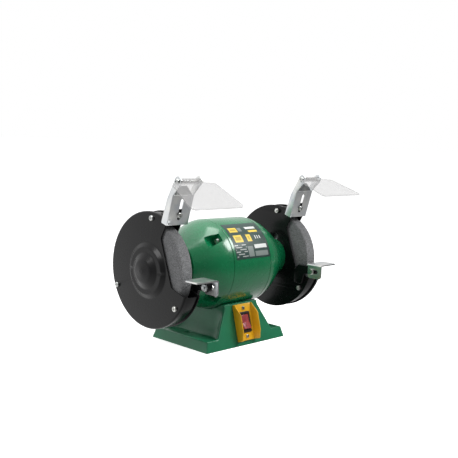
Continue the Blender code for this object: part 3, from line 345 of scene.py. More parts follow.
class Finish(Graph):
    # A material. Object coordinates are metres here.

    def __init__(self, name, colour, roughness, metallic=0.0, constants=None):
        self.material = bpy.data.materials.new(name)
        self.material.use_nodes = True
        super().__init__(self.material.node_tree, "Principled BSDF")
        self.set("Base Color", (*colour, 1))
        self.set("Roughness", roughness)
        self.set("Metallic", metallic)
        for word, value in (constants or {}).items():
            self.set(word, value)

    def place(self, scale=(1, 1, 1)):
        coordinates = self.node("ShaderNodeTexCoord", output="Object")
        return self.node("ShaderNodeMapping", inputs={"Vector": coordinates, "Scale": scale})

    def noise(self, scale, detail=3.0, roughness=0.5, stretch=(1, 1, 1)):
        return self.node(
            "ShaderNodeTexNoise",
            inputs={"Vector": self.place(stretch), "Scale": scale, "Detail": detail,
                    "Roughness": roughness},
        )

    def bump(self, height, strength, distance, under=None):
        inputs = {"Height": height, "Strength": strength, "Distance": distance}
        if under is not None:
            inputs["Normal"] = under
        return self.node("ShaderNodeBump", inputs=inputs)


def shades(colour, share):
    return [tuple(min(1, c * (1 + share * sign)) for c in colour) + (1,) for sign in (-1, 1)]


# Sprayed enamel: cloudy tone, orange peel and, on a casting, the sand's texture under it.
def enamel(name, colour, roughness, peel, cast=0.0, coat=0.6, gloss=0.5):
    made = Finish(name, colour, roughness,
                  constants={"Coat Roughness": 0.12, "Specular IOR Level": gloss})
    darker, lighter = shades(colour, 0.14)
    cloud = made.noise(22, 4)
    tone = made.ramp(cloud, (0.3, darker), (0.7, lighter))
    dust = made.noise(260, 5, 0.7)
    made.set("Base Color",
             made.blend(made.ramp(dust, (0.62, (0, 0, 0, 1)), (0.8, (0.25, 0.25, 0.25, 1))), tone,
                                      tuple(min(1, c * 1.5 + 0.005) for c in colour)))
    made.set("Roughness", made.noise(70, 3) * 0.14 + (roughness - 0.07))
    made.set("Coat Weight", made.noise(35, 2) * coat * 0.3 + coat * 0.85)
    normal = made.bump(made.noise(420, 2), 0.3, peel)
    if cast:
        grain = made.noise(420, 6, 0.65)
        pits = made.ramp(made.noise(180, 3), (0.3, (0, 0, 0, 1)), (0.42, (1, 1, 1, 1)))
        normal = made.bump(grain + pits * 0.4, 0.7, cast, normal)
    made.set("Normal", normal)
    return made.material


# Bright zinc: drawn lines from rolling, cloudy passivation and a few scratches.
def zincPlate(name="zincPlate", colour=(0.72, 0.725, 0.73), roughness=0.32, stretch=(1, 1, 0.06)):
    made = Finish(name, colour, roughness, 1.0)
    lines = made.noise(1500, 3, 0.6, stretch)
    cloud = made.noise(55, 4)
    cool = tuple(c * k for c, k in zip(colour, (0.8, 0.84, 0.88)))
    warm = tuple(min(1, c * k) for c, k in zip(colour, (1.16, 1.15, 1.1)))
    made.set("Base Color", made.ramp(cloud, (0.3, (*cool, 1)), (0.7, (*warm, 1))))
    made.set("Roughness", lines * 0.12 + cloud * 0.16 + (roughness - 0.14))
    made.set("Normal", made.bump(lines, 0.3, 0.00003, made.bump(made.noise(160, 2), 0.2, 0.0001)))
    return made.material


def groundSteel():
    made = Finish("groundSteel", (0.42, 0.42, 0.43), 0.28, 1.0)
    rings = made.noise(2200, 2, 0.5, (1, 0.15, 0.15))
    stain = made.noise(90, 4)
    made.set("Base Color",
             made.ramp(stain, (0.35, (0.3, 0.29, 0.28, 1)), (0.65, (0.5, 0.5, 0.51, 1))))
    made.set("Roughness", rings * 0.15 + stain * 0.15 + 0.15)
    made.set("Normal", made.bump(rings, 0.25, 0.00003))
    return made.material


def laminations():
    made = Finish("laminations", (0.2, 0.2, 0.21), 0.5, 0.9)
    sheets = made.node("ShaderNodeTexWave", {"bands_direction": "X"},
                       {"Vector": made.place(), "Scale": 320.0})
    made.set("Base Color",
             made.ramp(sheets, (0, (0.08, 0.08, 0.09, 1)), (0.6, (0.26, 0.25, 0.25, 1))))
    made.set("Roughness", made.noise(120, 3) * 0.3 + 0.35)
    made.set("Normal", made.bump(sheets, 0.5, 0.0001))
    return made.material


def varnishedCopper():
    made = Finish("varnishedCopper", (0.45, 0.17, 0.06), 0.3, 0.8)
    wires = made.node("ShaderNodeTexWave", {"wave_type": "RINGS", "rings_direction": "X"},
                      {"Vector": made.node("ShaderNodeVectorMath", {"operation": "SUBTRACT"},
                                           {0: made.node("ShaderNodeTexCoord", output="Object"),
                                            1: tuple(axis)}),
                       "Scale": 300.0, "Distortion": 1.5, "Detail": 2.0})
    made.set("Base Color",
             made.ramp(wires, (0.1, (0.2, 0.07, 0.02, 1)), (0.8, (0.62, 0.27, 0.1, 1))))
    made.set("Coat Weight", made.noise(50, 2) * 0.4 + 0.4)
    made.set("Normal", made.bump(wires, 0.8, 0.0003))
    return made.material


# Vitrified grit: grains of several greys in a paler bond, with open pores.
def gritStone(name, colour):
    made = Finish(name, colour, 0.9, constants={"Specular IOR Level": 0.35})
    cells = made.node("ShaderNodeTexVoronoi", inputs={"Vector": made.place(), "Scale": 1250.0},
                      output="Color")
    tone = made.node("ShaderNodeSeparateColor", inputs={0: cells}, output=0)
    grains = made.ramp(tone, (0.0, (*[c * 0.45 for c in colour], 1)), (0.5, (*colour, 1)),
                       (1.0, (*[min(1, c * 1.7) for c in colour], 1)))
    loaded = made.noise(45, 5, 0.6)
    made.set("Base Color",
             made.blend(made.ramp(loaded, (0.4, (0, 0, 0, 1)), (0.75, (0.5, 0.5, 0.5, 1))), grains,
                                      tuple(c * 0.72 for c in colour)))
    made.set("Roughness", tone * 0.25 + 0.7)
    pores = made.node("ShaderNodeTexVoronoi", inputs={"Vector": made.place(), "Scale": 900.0},
                      output="Distance")
    made.set("Normal", made.bump(pores + made.noise(2600, 3) * 0.6, 0.9, 0.0005))
    return made.material


# Moulded plastic: faint flow marks, a fine mould grain and light scuffs.
def moulding(name, colour, roughness, grain=0.00004, constants=None):
    made = Finish(name, colour, roughness, constants=constants)
    darker, lighter = shades(colour, 0.07)
    made.set("Base Color", made.ramp(made.noise(40, 3), (0.3, darker), (0.7, lighter)))
    made.set("Roughness", made.noise(300, 4, 0.7) * 0.2 + (roughness - 0.1))
    made.set("Normal", made.bump(made.noise(1600, 2), 0.35, grain))
    return made.material


# Clear polycarbonate: a faint grey film with hairline scratches and fine dust.
def clearSheet():
    made = Finish("clearPolycarbonate", (0.36, 0.355, 0.355), 0.12,
                  constants={"Coat Roughness": 0.03, "IOR": 1.58})
    scratches = made.noise(700, 4, 0.6, (0.05, 1, 1))
    dust = made.noise(900, 6, 0.8)
    made.set("Alpha", made.ramp(dust, (0.5, (0.36, 0.36, 0.36, 1)), (0.85, (0.46, 0.46, 0.46, 1))))
    made.set("Roughness", scratches * 0.16 + 0.02)
    made.set("Coat Weight", dust * 0.2 + 0.1)
    made.set("Normal", made.bump(scratches, 0.12, 0.00002))
    return made.material


plateLayout = {  # millimetres along the label and up it, from its lower left corner
    "width": 77.0,
    "height": 67.0,
    "yellow": [(6, 47, 24, 57), (47, 45, 67, 49), (7, 28, 25, 41), (35, 28, 45, 41)],
    "white": [(44, 52, 67, 57), (54, 32, 56, 38), (59, 32, 61, 38), (64, 32, 66, 38),
              (45, 15.5, 73, 22)],
    "grey": [(26, 48, 34, 56), (44, 3, 73, 11), (29, 3, 41, 20)],
    "rows": (2, 2, 27, 24),
    "marks": [(10, 31, 22, 38), (38, 31, 42, 38), (9, 50, 21, 54)],
}


# A printed label of plain bars and blocks, laid out on its own UV map.
def ratingPlate():
    made = Finish("ratingPlate", (0.02, 0.055, 0.045), 0.35)
    uv = made.node("ShaderNodeUVMap", {"uv_map": "label"})
    u, v = [made.node("ShaderNodeSeparateXYZ", inputs={0: uv}, output=k) * plateLayout[word]
            for k, word in enumerate(("width", "height"))]

    def patch(left, low, right, high):
        return (u > left) * (u < right) * (v > low) * (v < high)

    def together(patches):
        total = patch(*patches[0])
        for other in patches[1:]:
            total = total.math("MAXIMUM", patch(*other))
        return total

    ink = made.ramp(made.noise(500, 3), (0.3, (0.018, 0.045, 0.038, 1)),
                    (0.7, (0.026, 0.062, 0.052, 1)))
    yellow = made.blend(together(plateLayout["yellow"]), ink, (0.86, 0.62, 0.08))
    yellow = made.blend(together(plateLayout["marks"]) * 0.55, yellow, (0.25, 0.16, 0.02))
    white = made.blend(together(plateLayout["white"]) * 0.92, yellow, (0.8, 0.82, 0.8))
    pale = made.blend(together(plateLayout["grey"]) * 0.5, white, (0.42, 0.46, 0.44))
    row = (v * 0.27).math("FLOOR")
    dashes = (u * 0.045 + row * 0.37).math("FRACT") < 0.62
    lines = ((v * 0.27).math("FRACT") < 0.4) * dashes
    made.set("Base Color",
             made.blend(patch(*plateLayout["rows"]) * lines * 0.8, pale, (0.6, 0.62, 0.6)))
    made.set("Roughness", made.noise(120, 3) * 0.15 + 0.25)
    made.set("Coat Weight", made.noise(60, 2) * 0.2 + 0.3)
    return made.material


greenEnamel = enamel("greenEnamel", (0.002, 0.17, 0.06), 0.27, 0.00001, coat=0.7)
castGreen = enamel("castGreen", (0.008, 0.175, 0.078), 0.42, 0.00001, cast=0.0001, coat=0.2)
blackEnamel = enamel("blackEnamel", (0.0035, 0.0035, 0.004), 0.26, 0.00001, coat=0.04, gloss=0.25)
zinc = zincPlate()
screwZinc = zincPlate("screwZinc", (0.62, 0.62, 0.6), 0.28, (1, 1, 1))
steel = groundSteel()
stack = laminations()
copper = varnishedCopper()
grit = gritStone("greyGrit", (0.2, 0.203, 0.208))
clear = clearSheet()
yellowPlastic = moulding("yellowPlastic", (0.86, 0.45, 0.008), 0.34, constants={"Coat Weight": 0.3})
redLens = moulding("redLens", (0.34, 0.05, 0.06), 0.22, 0.00002,
                   {"Coat Weight": 0.8, "Subsurface Weight": 0.25})
blackPlastic = moulding("blackPlastic", (0.018, 0.018, 0.018), 0.4)
blackRubber = moulding("blackRubber", (0.02, 0.02, 0.02), 0.75)
plateInk = ratingPlate()
card = moulding("blotterCard", (0.45, 0.47, 0.5), 0.8)
print("finishes made")


def finishPiece(piece, body, slot, material, *nodes):
    piece.data.materials.clear()
    piece.data.materials.append(material)
    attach(piece, body)
    if nodes:
        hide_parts(*nodes)
    return piece


boltKinds = {  # all in millimetres, with the head's seat at 0 and the shank running down
    "pan": {"headRadius": 4.4, "headHeight": 3.0, "shankRadius": 2.3, "cross": True},
    "tie": {"headRadius": 4.6, "headHeight": 3.5, "shankRadius": 2.4, "cross": True},
    "hex": {"headRadius": 5.6, "headHeight": 4.0, "shankRadius": 2.9, "cross": False},
}


# One bolt standing on the origin, head up, with its nut nutAt millimetres below its seat.
def boltMaster(name, kind, length, nutAt=None, nutHeight=4.0, nutRadius=4.4):
    size = boltKinds[kind]
    head, tall, shank = size["headRadius"] * mm, size["headHeight"] * mm, size["shankRadius"] * mm
    if size["cross"]:
        dome = fillet([(0, head), (tall, head * 0.92, 1.6 * mm), (tall, 0)], closed=False, steps=6)
        piece = turned(name, [(0, 0), *dome], steps=40, closed=False, centre=(0, 0, 0))
        arms = [brick("arm", (tall - 1.4 * mm, -w * mm, -h * mm), (tall + mm, w * mm, h * mm))
                for w, h in ((0.55, 2.5), (2.5, 0.55))]
        piece = shaped(piece, "DIFFERENCE", *arms)
    else:
        piece = hexPrism(name, head, 0, tall)
    bar = turned("shank", [(mm * 0.4, 0), (mm * 0.4, shank), (-length * mm + 0.6 * mm, shank),
                           (-length * mm, shank - 0.5 * mm), (-length * mm, 0)],
                 steps=32, closed=False, centre=(0, 0, 0))
    threads = [bar]
    if nutAt is not None:
        threads.append(hexPrism("nut", nutRadius * mm, -(nutAt + nutHeight) * mm, -nutAt * mm))
    piece = shaped(piece, "UNION", *threads)
    piece.data.transform(Matrix.Rotation(-math.pi / 2, 4, "Y"))
    return piece


# A six-sided head along X whose corners are turned down, as on a real nut.
def hexPrism(name, radius, low, high, bore=None, chamfer=0.86):
    turns = [math.pi * i / 3 for i in range(6)]
    sidesOf = [(radius * math.cos(t), radius * math.sin(t)) for t in turns]
    holes = [ring((0, 0), bore, 48)] if bore else []
    piece = slab(name, sidesOf, low, high, holes)
    lift = 0.16 * radius
    cap = [(low - lift, 0), (low - lift, radius * 0.7), (low, radius * chamfer),
           (low + lift, radius * 1.01),
           (high - lift, radius * 1.01), (high, radius * chamfer), (high + lift, radius * 0.7),
           (high + lift, 0)]
    lathe = turned("turnedCorners", cap, steps=48, closed=False, centre=(0, 0, 0))
    return shaped(piece, "INTERSECT", lathe)


# Puts one fastener on every point, turned to the point's own axis.
def scatterTree():
    tree = bpy.data.node_groups.new("fastenersOnPoints", "GeometryNodeTree")
    tree.interface.new_socket("Points", in_out="INPUT", socket_type="NodeSocketGeometry")
    for word, kind in (("Fastener", "NodeSocketObject"), ("Size", "NodeSocketFloat"),
                       ("Plating", "NodeSocketMaterial")):
        tree.interface.new_socket(word, in_out="INPUT", socket_type=kind)
    tree.interface.new_socket("Geometry", in_out="OUTPUT", socket_type="NodeSocketGeometry")

    def add(kind, **inputs):
        made = tree.nodes.new(kind)
        for word, value in inputs.items():
            socket = made.inputs[word.replace("_", " ")]
            if isinstance(value, bpy.types.NodeSocket):
                tree.links.new(value, socket)
            else:
                socket.default_value = value
        return made

    given = tree.nodes.new("NodeGroupInput").outputs
    source = add("GeometryNodeObjectInfo", Object=given["Fastener"])
    heading = tree.nodes.new("GeometryNodeInputNamedAttribute")
    heading.data_type = "FLOAT_VECTOR"
    heading.inputs["Name"].default_value = "heading"
    aim = add("FunctionNodeAlignRotationToVector", Vector=heading.outputs["Attribute"])
    aim.axis = "Z"
    spread = add("GeometryNodeInstanceOnPoints", Points=given["Points"],
                 Instance=source.outputs["Geometry"],
                 Rotation=aim.outputs["Rotation"], Scale=given["Size"])
    solid = add("GeometryNodeRealizeInstances", Geometry=spread.outputs["Instances"])
    plated = add("GeometryNodeSetMaterial", Geometry=solid.outputs["Geometry"],
                 Material=given["Plating"])
    out = tree.nodes.new("NodeGroupOutput")
    tree.links.new(plated.outputs["Geometry"], out.inputs["Geometry"])
    return tree


fastenerTree = scatterTree()


def fasteners(name, master, spots, headings, material, size=1.0):
    mesh = bpy.data.meshes.new(name)
    mesh.from_pydata(spots, [], [])
    headingOf = mesh.attributes.new("heading", "FLOAT_VECTOR", "POINT")
    for item, heading in zip(headingOf.data, headings):
        item.vector = heading
    piece = bpy.data.objects.new(name, mesh)
    bpy.context.scene.collection.objects.link(piece)
    modifier = piece.modifiers.new("fasteners", "NODES")
    modifier.node_group = fastenerTree
    for item in fastenerTree.interface.items_tree:
        if item.in_out == "INPUT" and item.name in ("Fastener", "Size", "Plating"):
            modifier[item.identifier] = {"Fastener": master, "Size": size,
                                         "Plating": material}[item.name]
    piece = settle(piece)
    bpy.data.objects.remove(master)
    return piece


footLow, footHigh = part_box("pedestal")
foot = {
    "length": footHigh.x - footLow.x,
    "width": footHigh.y - footLow.y,
    "height": 17.3 * mm,
    "draft": 0.28,
    "rim": 4.6 * mm,
    "recess": 2.5 * mm,
    "top": 67.3 * mm,
    "waist": 37 * mm,
    "spread": 8 * mm,
    "cove": 7 * mm,
    "panelFoot": 62 * mm,
    "panelTaper": 0.554,
    "boltSpacing": 118 * mm,
    "boltSetback": 13 * mm,
    "boltHole": 4.5 * mm,
    "voxel": 1.0 * mm,
}
lean = math.atan(foot["draft"])


# Half the pedestal's length at a height, where share is 0 at its waist and 1 at its front face.
def pedestalHalf(share, height):
    floor = foot["height"] - foot["recess"]
    climb = (height - floor) / (foot["top"] - floor)
    waist = foot["waist"] + foot["spread"] * (1 - climb) + foot["cove"] * max(0, 1 - 4 * climb) ** 2
    face = foot["panelFoot"] - foot["panelTaper"] * max(0, height - foot["height"])
    flare = max(0, (share - 0.45) / 0.5)
    return waist + max(0, face - waist) * min(1, flare ** 3)


def pedestalBody():
    floor = foot["height"] - foot["recess"] - 0.5 * mm
    levels, across = 36, 40
    bm = bmesh.new()
    rows = []
    for i in range(levels + 1):
        height = floor + (foot["top"] - floor) * i / levels
        faceY = foot["width"] / 2 - foot["draft"] * height
        shares = [2 * j / across - 1 for j in range(across + 1)]
        right = [(pedestalHalf(abs(s), height), s * faceY, height) for s in shares]
        left = [(-x, y, z) for x, y, z in reversed(right)]
        rows.append([bm.verts.new(p) for p in right + left])
    for low, high in zip(rows, rows[1:]):
        for j in range(len(low)):
            k = (j + 1) % len(low)
            bm.faces.new((low[j], low[k], high[k], high[j]))
    bm.faces.new(rows[0][::-1])
    bm.faces.new(rows[-1])
    bmesh.ops.recalc_face_normals(bm, faces=bm.faces)
    return keep("pedestalBody", bm)


# A block between two level rectangles, each given as (half length, half width, height).
def frustum(name, low, high):
    bm = bmesh.new()
    bmesh.ops.create_cube(bm, size=2)
    for corner in bm.verts:
        halfX, halfY, z = high if corner.co.z > 0 else low
        corner.co = Vector((corner.co.x * halfX, corner.co.y * halfY, z))
    return keep(name, bm)


def switchFrame(facing=-1, height=36 * mm):
    turn = Matrix.Rotation(0 if facing > 0 else math.pi, 4, "Z")
    out = foot["width"] / 2 - foot["draft"] * height
    return turn @ Matrix.Translation((0, out, height)) @ Matrix.Rotation(lean, 4, "X")


def makeFoot():
    halfX, halfY, tall = foot["length"] / 2, foot["width"] / 2, foot["height"]
    inX, inY = halfX - foot["draft"] * tall, halfY - foot["draft"] * tall
    piece = frustum("pedestalCasting", (halfX, halfY, 0), (inX, inY, tall))
    floor = tall - foot["recess"]
    pockets = []
    for side in sides.values():
        near, far = sorted((side * 36 * mm, side * (inX - foot["rim"])))
        reach = inY - foot["rim"]
        pockets.append(brick("recess", (near, -reach, floor), (far, reach, 2 * tall)))
    piece = shaped(piece, "DIFFERENCE", *pockets)
    piece = shaped(piece, "UNION", pedestalBody())
    wall = 4 * mm
    trayTop = floor - wall
    tools = [rod("cradle", 72.8 * mm, -halfX, halfX, centre=axis, steps=160)]
    tools.append(frustum("tray", (halfX - wall, halfY - wall, -mm),
                         (inX - wall, inY - wall, trayTop)))
    for side in sides.values():
        spot = (side * foot["boltSpacing"] / 2, foot["boltSetback"], 0)
        tools.append(rod("benchHole", foot["boltHole"], -mm, tall, "Z", spot))
    window = switchFrame()
    tools.append(brick("switchWindow", (-10.5 * mm, -27 * mm, -15 * mm),
                       (10.5 * mm, 27 * mm, 15 * mm), window))
    piece = shaped(piece, "DIFFERENCE", *tools)
    remesh = piece.modifiers.new("cast", "REMESH")
    remesh.mode = "VOXEL"
    remesh.voxel_size = foot["voxel"]
    smooth = piece.modifiers.new("fettle", "SMOOTH")
    smooth.factor = 0.5
    smooth.iterations = 3
    piece = settle(piece, 60)
    piece = shaped(piece, "DIFFERENCE",
                   rod("motorSeat", 73 * mm, -halfX, halfX, centre=axis, steps=192), sharp=60)
    return finishPiece(piece, "frame", "base_green", castGreen, "pedestal")


makeFoot()
print("foot cast")


motor = {
    "radius": (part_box("motor_shell")[1].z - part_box("motor_shell")[0].z) / 2,
    "halfLength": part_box("motor_shell")[1].x,
    "wall": 4 * mm,
    "edge": 1.0 * mm,
    "noseRadius": 43 * mm,
    "neckRadius": 31 * mm,
    "neckLength": 24 * mm,
    "boreRadius": 13 * mm,
    "cavityRadius": 50 * mm,
    "pocketFloor": 10.5 * mm,
    "pocketSize": 15 * mm,
    "labelAngles": (12, 65),
    "labelEnds": (-36 * mm, 41 * mm),
}


def makeShell():
    end, radius, inside = motor["halfLength"], motor["radius"], motor["radius"] - motor["wall"]
    edge = motor["edge"]
    profile = fillet([(-end, radius, edge), (end, radius, edge), (end, inside), (-end, inside)])
    piece = turned("motorShell", profile, steps=192)
    return finishPiece(piece, "frame", "green_enamel", greenEnamel, "motor_shell")


# The bell's outside: level at the joint, then bending smoothly into a straight cone.
def bellShoulder(near, noseEnd, radius, nose, steps=24):
    bend, soften = 13 * mm, 17 * mm

    def drop(along):
        return along - bend + math.hypot(along - bend, soften)

    most = drop(noseEnd - near) - drop(0)
    spots = [(noseEnd - near) * i / steps for i in range(steps + 1)]
    return [(near + 0.8 * mm + t * 0.98,
             radius - (radius - nose) * (drop(t) - drop(0)) / most) for t in spots]


def makeBells():
    for word, side in sides.items():
        near, far = reachOf(f"end_bell_{word}")
        noseEnd = far - motor["neckLength"]
        radius, nose, neck = motor["radius"], motor["noseRadius"], motor["neckRadius"]
        seat, seatRadius = reachOf(f"bearing_outer_{word}")[0] - 0.3 * mm, 17.8 * mm
        seatEnd = seat + 11.6 * mm
        shoulder = bellShoulder(near, noseEnd, radius, nose)
        outer = [(near, radius - 0.9 * mm), *shoulder, (noseEnd - 0.3 * mm, nose - 1.5 * mm, mm),
                 (noseEnd, neck + 4 * mm, 2 * mm), (noseEnd + 3 * mm, neck, 3 * mm), (far, neck)]
        inner = [(far, motor["boreRadius"]), (seatEnd, motor["boreRadius"]), (seatEnd, seatRadius),
                 (seat, seatRadius), (seat, motor["cavityRadius"] - 3 * mm),
                 (near + 12 * mm, motor["cavityRadius"], 4 * mm), (near, motor["cavityRadius"])]
        piece = turned(f"endBell_{word}", fillet(outer + inner, steps=10), side, steps=192)
        if side < 0:
            piece = shaped(piece, "DIFFERENCE", *pocketCutters(near + motor["pocketFloor"]))
        finishPiece(piece, "frame", "bell_enamel", greenEnamel, f"end_bell_{word}")


# Square scoops over the tie screws, which open out towards the bell's nose.
def pocketCutters(floor):
    made = []
    for i in range(1, 5):
        low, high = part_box(f"tie_bolt_{i}")
        spot = Vector((0, (low.y + high.y) / 2, (low.z + high.z) / 2))
        out = (spot - axis).normalized()
        turn = math.atan2(out.z, out.y)
        place = Matrix.Translation(axis) @ Matrix.Rotation(turn, 4, "X")
        reach = (spot - axis).length
        half = motor["pocketSize"] / 2
        bm = bmesh.new()
        loops = []
        for along, wide, deep in ((0, half, half - mm), (5 * mm, half, half),
                                  (14 * mm, half + 2 * mm, half - 2 * mm),
                                  (26 * mm, half + 3.5 * mm, half - 7 * mm)):
            square = [(-deep, -wide, 3.5 * mm), (20 * mm, -wide), (20 * mm, wide),
                      (-deep, wide, 3.5 * mm)]
            outline = fillet(square, steps=5)
            loops.append([bm.verts.new((-(floor + along), reach + u, v)) for u, v in outline])
        for one, two in zip(loops, loops[1:]):
            for j in range(len(one)):
                k = (j + 1) % len(one)
                bm.faces.new((one[j], one[k], two[k], two[j]))
        bm.faces.new(loops[0])
        bm.faces.new(loops[-1])
        bmesh.ops.recalc_face_normals(bm, faces=bm.faces)
        made.append(keep(f"scoop{i}", bm, place))
    return made


# A thin printed plate that follows the shell.
def makeLabel():
    first, last = [math.radians(a) for a in motor["labelAngles"]]
    left, right = motor["labelEnds"]
    inside, outside = motor["radius"] + 0.05 * mm, motor["radius"] + 0.3 * mm
    steps = 40
    bm = bmesh.new()
    uv = bm.loops.layers.uv.new("label")
    grid = {}
    for level, radius in enumerate((inside, outside)):
        for i in range(steps + 1):
            turn = first + (last - first) * i / steps
            for j, x in enumerate((left, right)):
                spot = (x, -radius * math.cos(turn), shaftHeight + radius * math.sin(turn))
                grid[level, i, j] = bm.verts.new(spot)
    for i in range(steps):
        for level in (0, 1):
            face = bm.faces.new([grid[level, a, b] for a,
                                 b in ((i, 0), (i, 1), (i + 1, 1), (i + 1, 0))])
            for loop, (a, b) in zip(face.loops, ((i, 0), (i, 1), (i + 1, 1), (i + 1, 0))):
                loop[uv].uv = (b, a / steps)
        for j in (0, 1):
            bm.faces.new((grid[0, i, j], grid[1, i, j], grid[1, i + 1, j], grid[0, i + 1, j]))
    for i in (0, steps):
        bm.faces.new((grid[0, i, 0], grid[1, i, 0], grid[1, i, 1], grid[0, i, 1]))
    bmesh.ops.recalc_face_normals(bm, faces=bm.faces)
    finishPiece(keep("ratingPlate", bm), "frame", "green_enamel", plateInk)


def makeTieScrews():
    nodes = [f"tie_bolt_{i}" for i in range(1, 5)]
    spots = []
    for node in nodes:
        low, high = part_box(node)
        spots.append((low.x + 3.5 * mm, (low.y + high.y) / 2, (low.z + high.z) / 2))
    length = (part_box(nodes[0])[1].x - spots[0][0]) / mm
    piece = fasteners("tieScrews", boltMaster("tieMaster", "tie", length), spots, [(-1, 0, 0)] * 4,
                      screwZinc)
    finishPiece(piece, "frame", "zinc_plate", screwZinc, *nodes)


makeShell()
makeBells()
makeLabel()
makeTieScrews()
print("motor dressed")


wheel = {"chamfer": 1.2 * mm, "wobble": 0.12 * mm, "blotter": 31 * mm, "flangeRadius": 25 * mm}


def makeWheels():
    for word, side in sides.items():
        near, far = reachOf(f"grinding_wheel_{word}")
        low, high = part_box(f"grinding_wheel_{word}")
        radius = (high.z - low.z) / 2
        cut = wheel["chamfer"]
        bore = 6.5 * mm
        face = [radius - k * 5 * mm for k in range(12, 0, -1)]
        rim = [near + (far - near) * k / 10 for k in range(1, 10)]
        outline = [(near, bore), *[(near, r) for r in face], (near, radius - cut),
                   (near + cut, radius)]
        outline += [(x, radius) for x in rim if near + cut < x < far - cut]
        outline += [(far - cut, radius), (far, radius - cut), *[(far, r) for r in face[::-1]],
                    (far, bore)]
        piece = turned(f"grindingWheel_{word}", outline, side, steps=240, sharp=50)
        for corner in piece.data.vertices:
            out = Vector((0, corner.co.y, corner.co.z - shaftHeight))
            if out.length > radius - 2 * cut:
                rough = noise.noise(corner.co * 900 + Vector((7, 3, side)))
                corner.co -= out.normalized() * wheel["wobble"] * abs(rough)
        finishPiece(piece, "rotor", "grey_abrasive", grit, f"grinding_wheel_{word}")
        makeClamping(word, side, near, far)


# The pressed flanges, their card washers and the arbor nut.
def makeClamping(word, side, near, far):
    big, hub, bore = wheel["flangeRadius"], 11 * mm, 6.5 * mm
    start = reachOf(f"inner_flange_{word}")[0]
    inner = [(start, hub, 0.5 * mm), (near - 2.1 * mm, hub, mm), (near - 2.1 * mm, big, 0.8 * mm),
             (near - 0.3 * mm, big, 0.4 * mm), (near - 0.3 * mm, bore), (start, bore)]
    piece = turned(f"innerFlange_{word}", fillet(inner), side, steps=96)
    finishPiece(piece, "rotor", "ground_steel", steel, f"inner_flange_{word}")
    end = reachOf(f"outer_flange_{word}")[1]
    outer = [(far + 0.3 * mm, big - 4 * mm), (far + 0.3 * mm, big, 0.5 * mm), (end - mm, big, mm),
             (end, big - 6 * mm, 3 * mm), (end, bore), (far + 0.3 * mm, bore)]
    piece = turned(f"outerFlange_{word}", fillet(outer), side, steps=96)
    finishPiece(piece, "rotor", "ground_steel", steel, f"outer_flange_{word}")
    for face, at in (("inner", near - 0.26 * mm), ("outer", far + 0.04 * mm)):
        edge = wheel["blotter"]
        washer = [(at, bore), (at, edge), (at + 0.2 * mm, edge), (at + 0.2 * mm, bore)]
        piece = turned(f"{face}Blotter_{word}", washer, side, steps=96)
        finishPiece(piece, "rotor", "grey_abrasive", card)
    low, high = reachOf(f"wheel_nut_{word}")
    nut = hexPrism(f"arborNut_{word}", 19 / math.sqrt(3) * mm, low, high, bore=6.4 * mm)
    nut.data.transform(Matrix.Translation(axis) @ Matrix.Diagonal((side, 1, 1, 1)))
    if side < 0:
        nut.data.flip_normals()
    finishPiece(nut, "rotor", "zinc_plate", screwZinc, f"wheel_nut_{word}")


def makeShaft():
    reach = shaftHigh.x
    seat = reachOf("bearing_inner_right")[0] - 0.3 * mm
    shoulder = reachOf("inner_flange_right")[0] - 0.3 * mm
    thread = reachOf("wheel_nut_right")[0] - 4 * mm
    half = [(seat, 9.5 * mm), (seat, 7.2 * mm), (shoulder, 7.2 * mm), (shoulder, 6.2 * mm),
            (thread, 6.2 * mm)]
    pitch = 1.6 * mm
    while thread < reach - pitch:
        half += [(thread + pitch / 4, 6.2 * mm), (thread + 0.75 * pitch, 5.5 * mm)]
        thread += pitch
    half += [(reach - 0.5 * mm, 6.0 * mm), (reach, 5.2 * mm), (reach, 0)]
    profile = [(-x, r) for x, r in reversed(half)] + half
    finishPiece(turned("rotorShaft", profile, steps=64, closed=False), "rotor", "ground_steel",
                steel, "shaft")


makeWheels()
makeShaft()
print("wheels mounted")


guard = {
    "sheet": 1.5 * mm,
    "opening": (math.radians(61), math.radians(-18)),
    "chord": (60 * mm, 58 * mm),
    "spareHole": (5.5 * mm, 35.5 * mm, math.radians(81)),
    "boltCircle": 81 * mm,
    "boltFirst": math.radians(84),
    "lip": 6.5 * mm,
    "ridge": 43 * mm,
    "ridgeHeight": 5 * mm,
    "dome": 28 * mm,
    "domeHeight": 13.5 * mm,
    "dimpleCircle": 35.5 * mm,
    "dimpleRadius": 3.5 * mm,
    "dimpleDepth": 1.3 * mm,
}


# (y, z) of a place on the wheel, angles counted upwards from straight towards the user.
def fromFront(angle, radius):
    return (-radius * math.cos(angle), shaftHeight + radius * math.sin(angle))


def openingWedge(far, corner=6 * mm):
    top, bottom = guard["opening"]
    high, low = guard["chord"]
    middle = (top + bottom) / 2
    wedge = [(*fromFront(top, high), corner), fromFront(top, far), fromFront(middle, far),
             fromFront(bottom, far),
             (*fromFront(bottom, low), corner)]
    return fillet(wedge, steps=6)


def rimArc(radius, top, bottom, steps=96):
    turn = 2 * math.pi + bottom - top
    return [fromFront(top + turn * i / steps, radius) for i in range(steps + 1)]


def boltSpots():
    return [fromFront(guard["boltFirst"] + 2 * math.pi * i / 3,
                      guard["boltCircle"]) for i in range(3)]


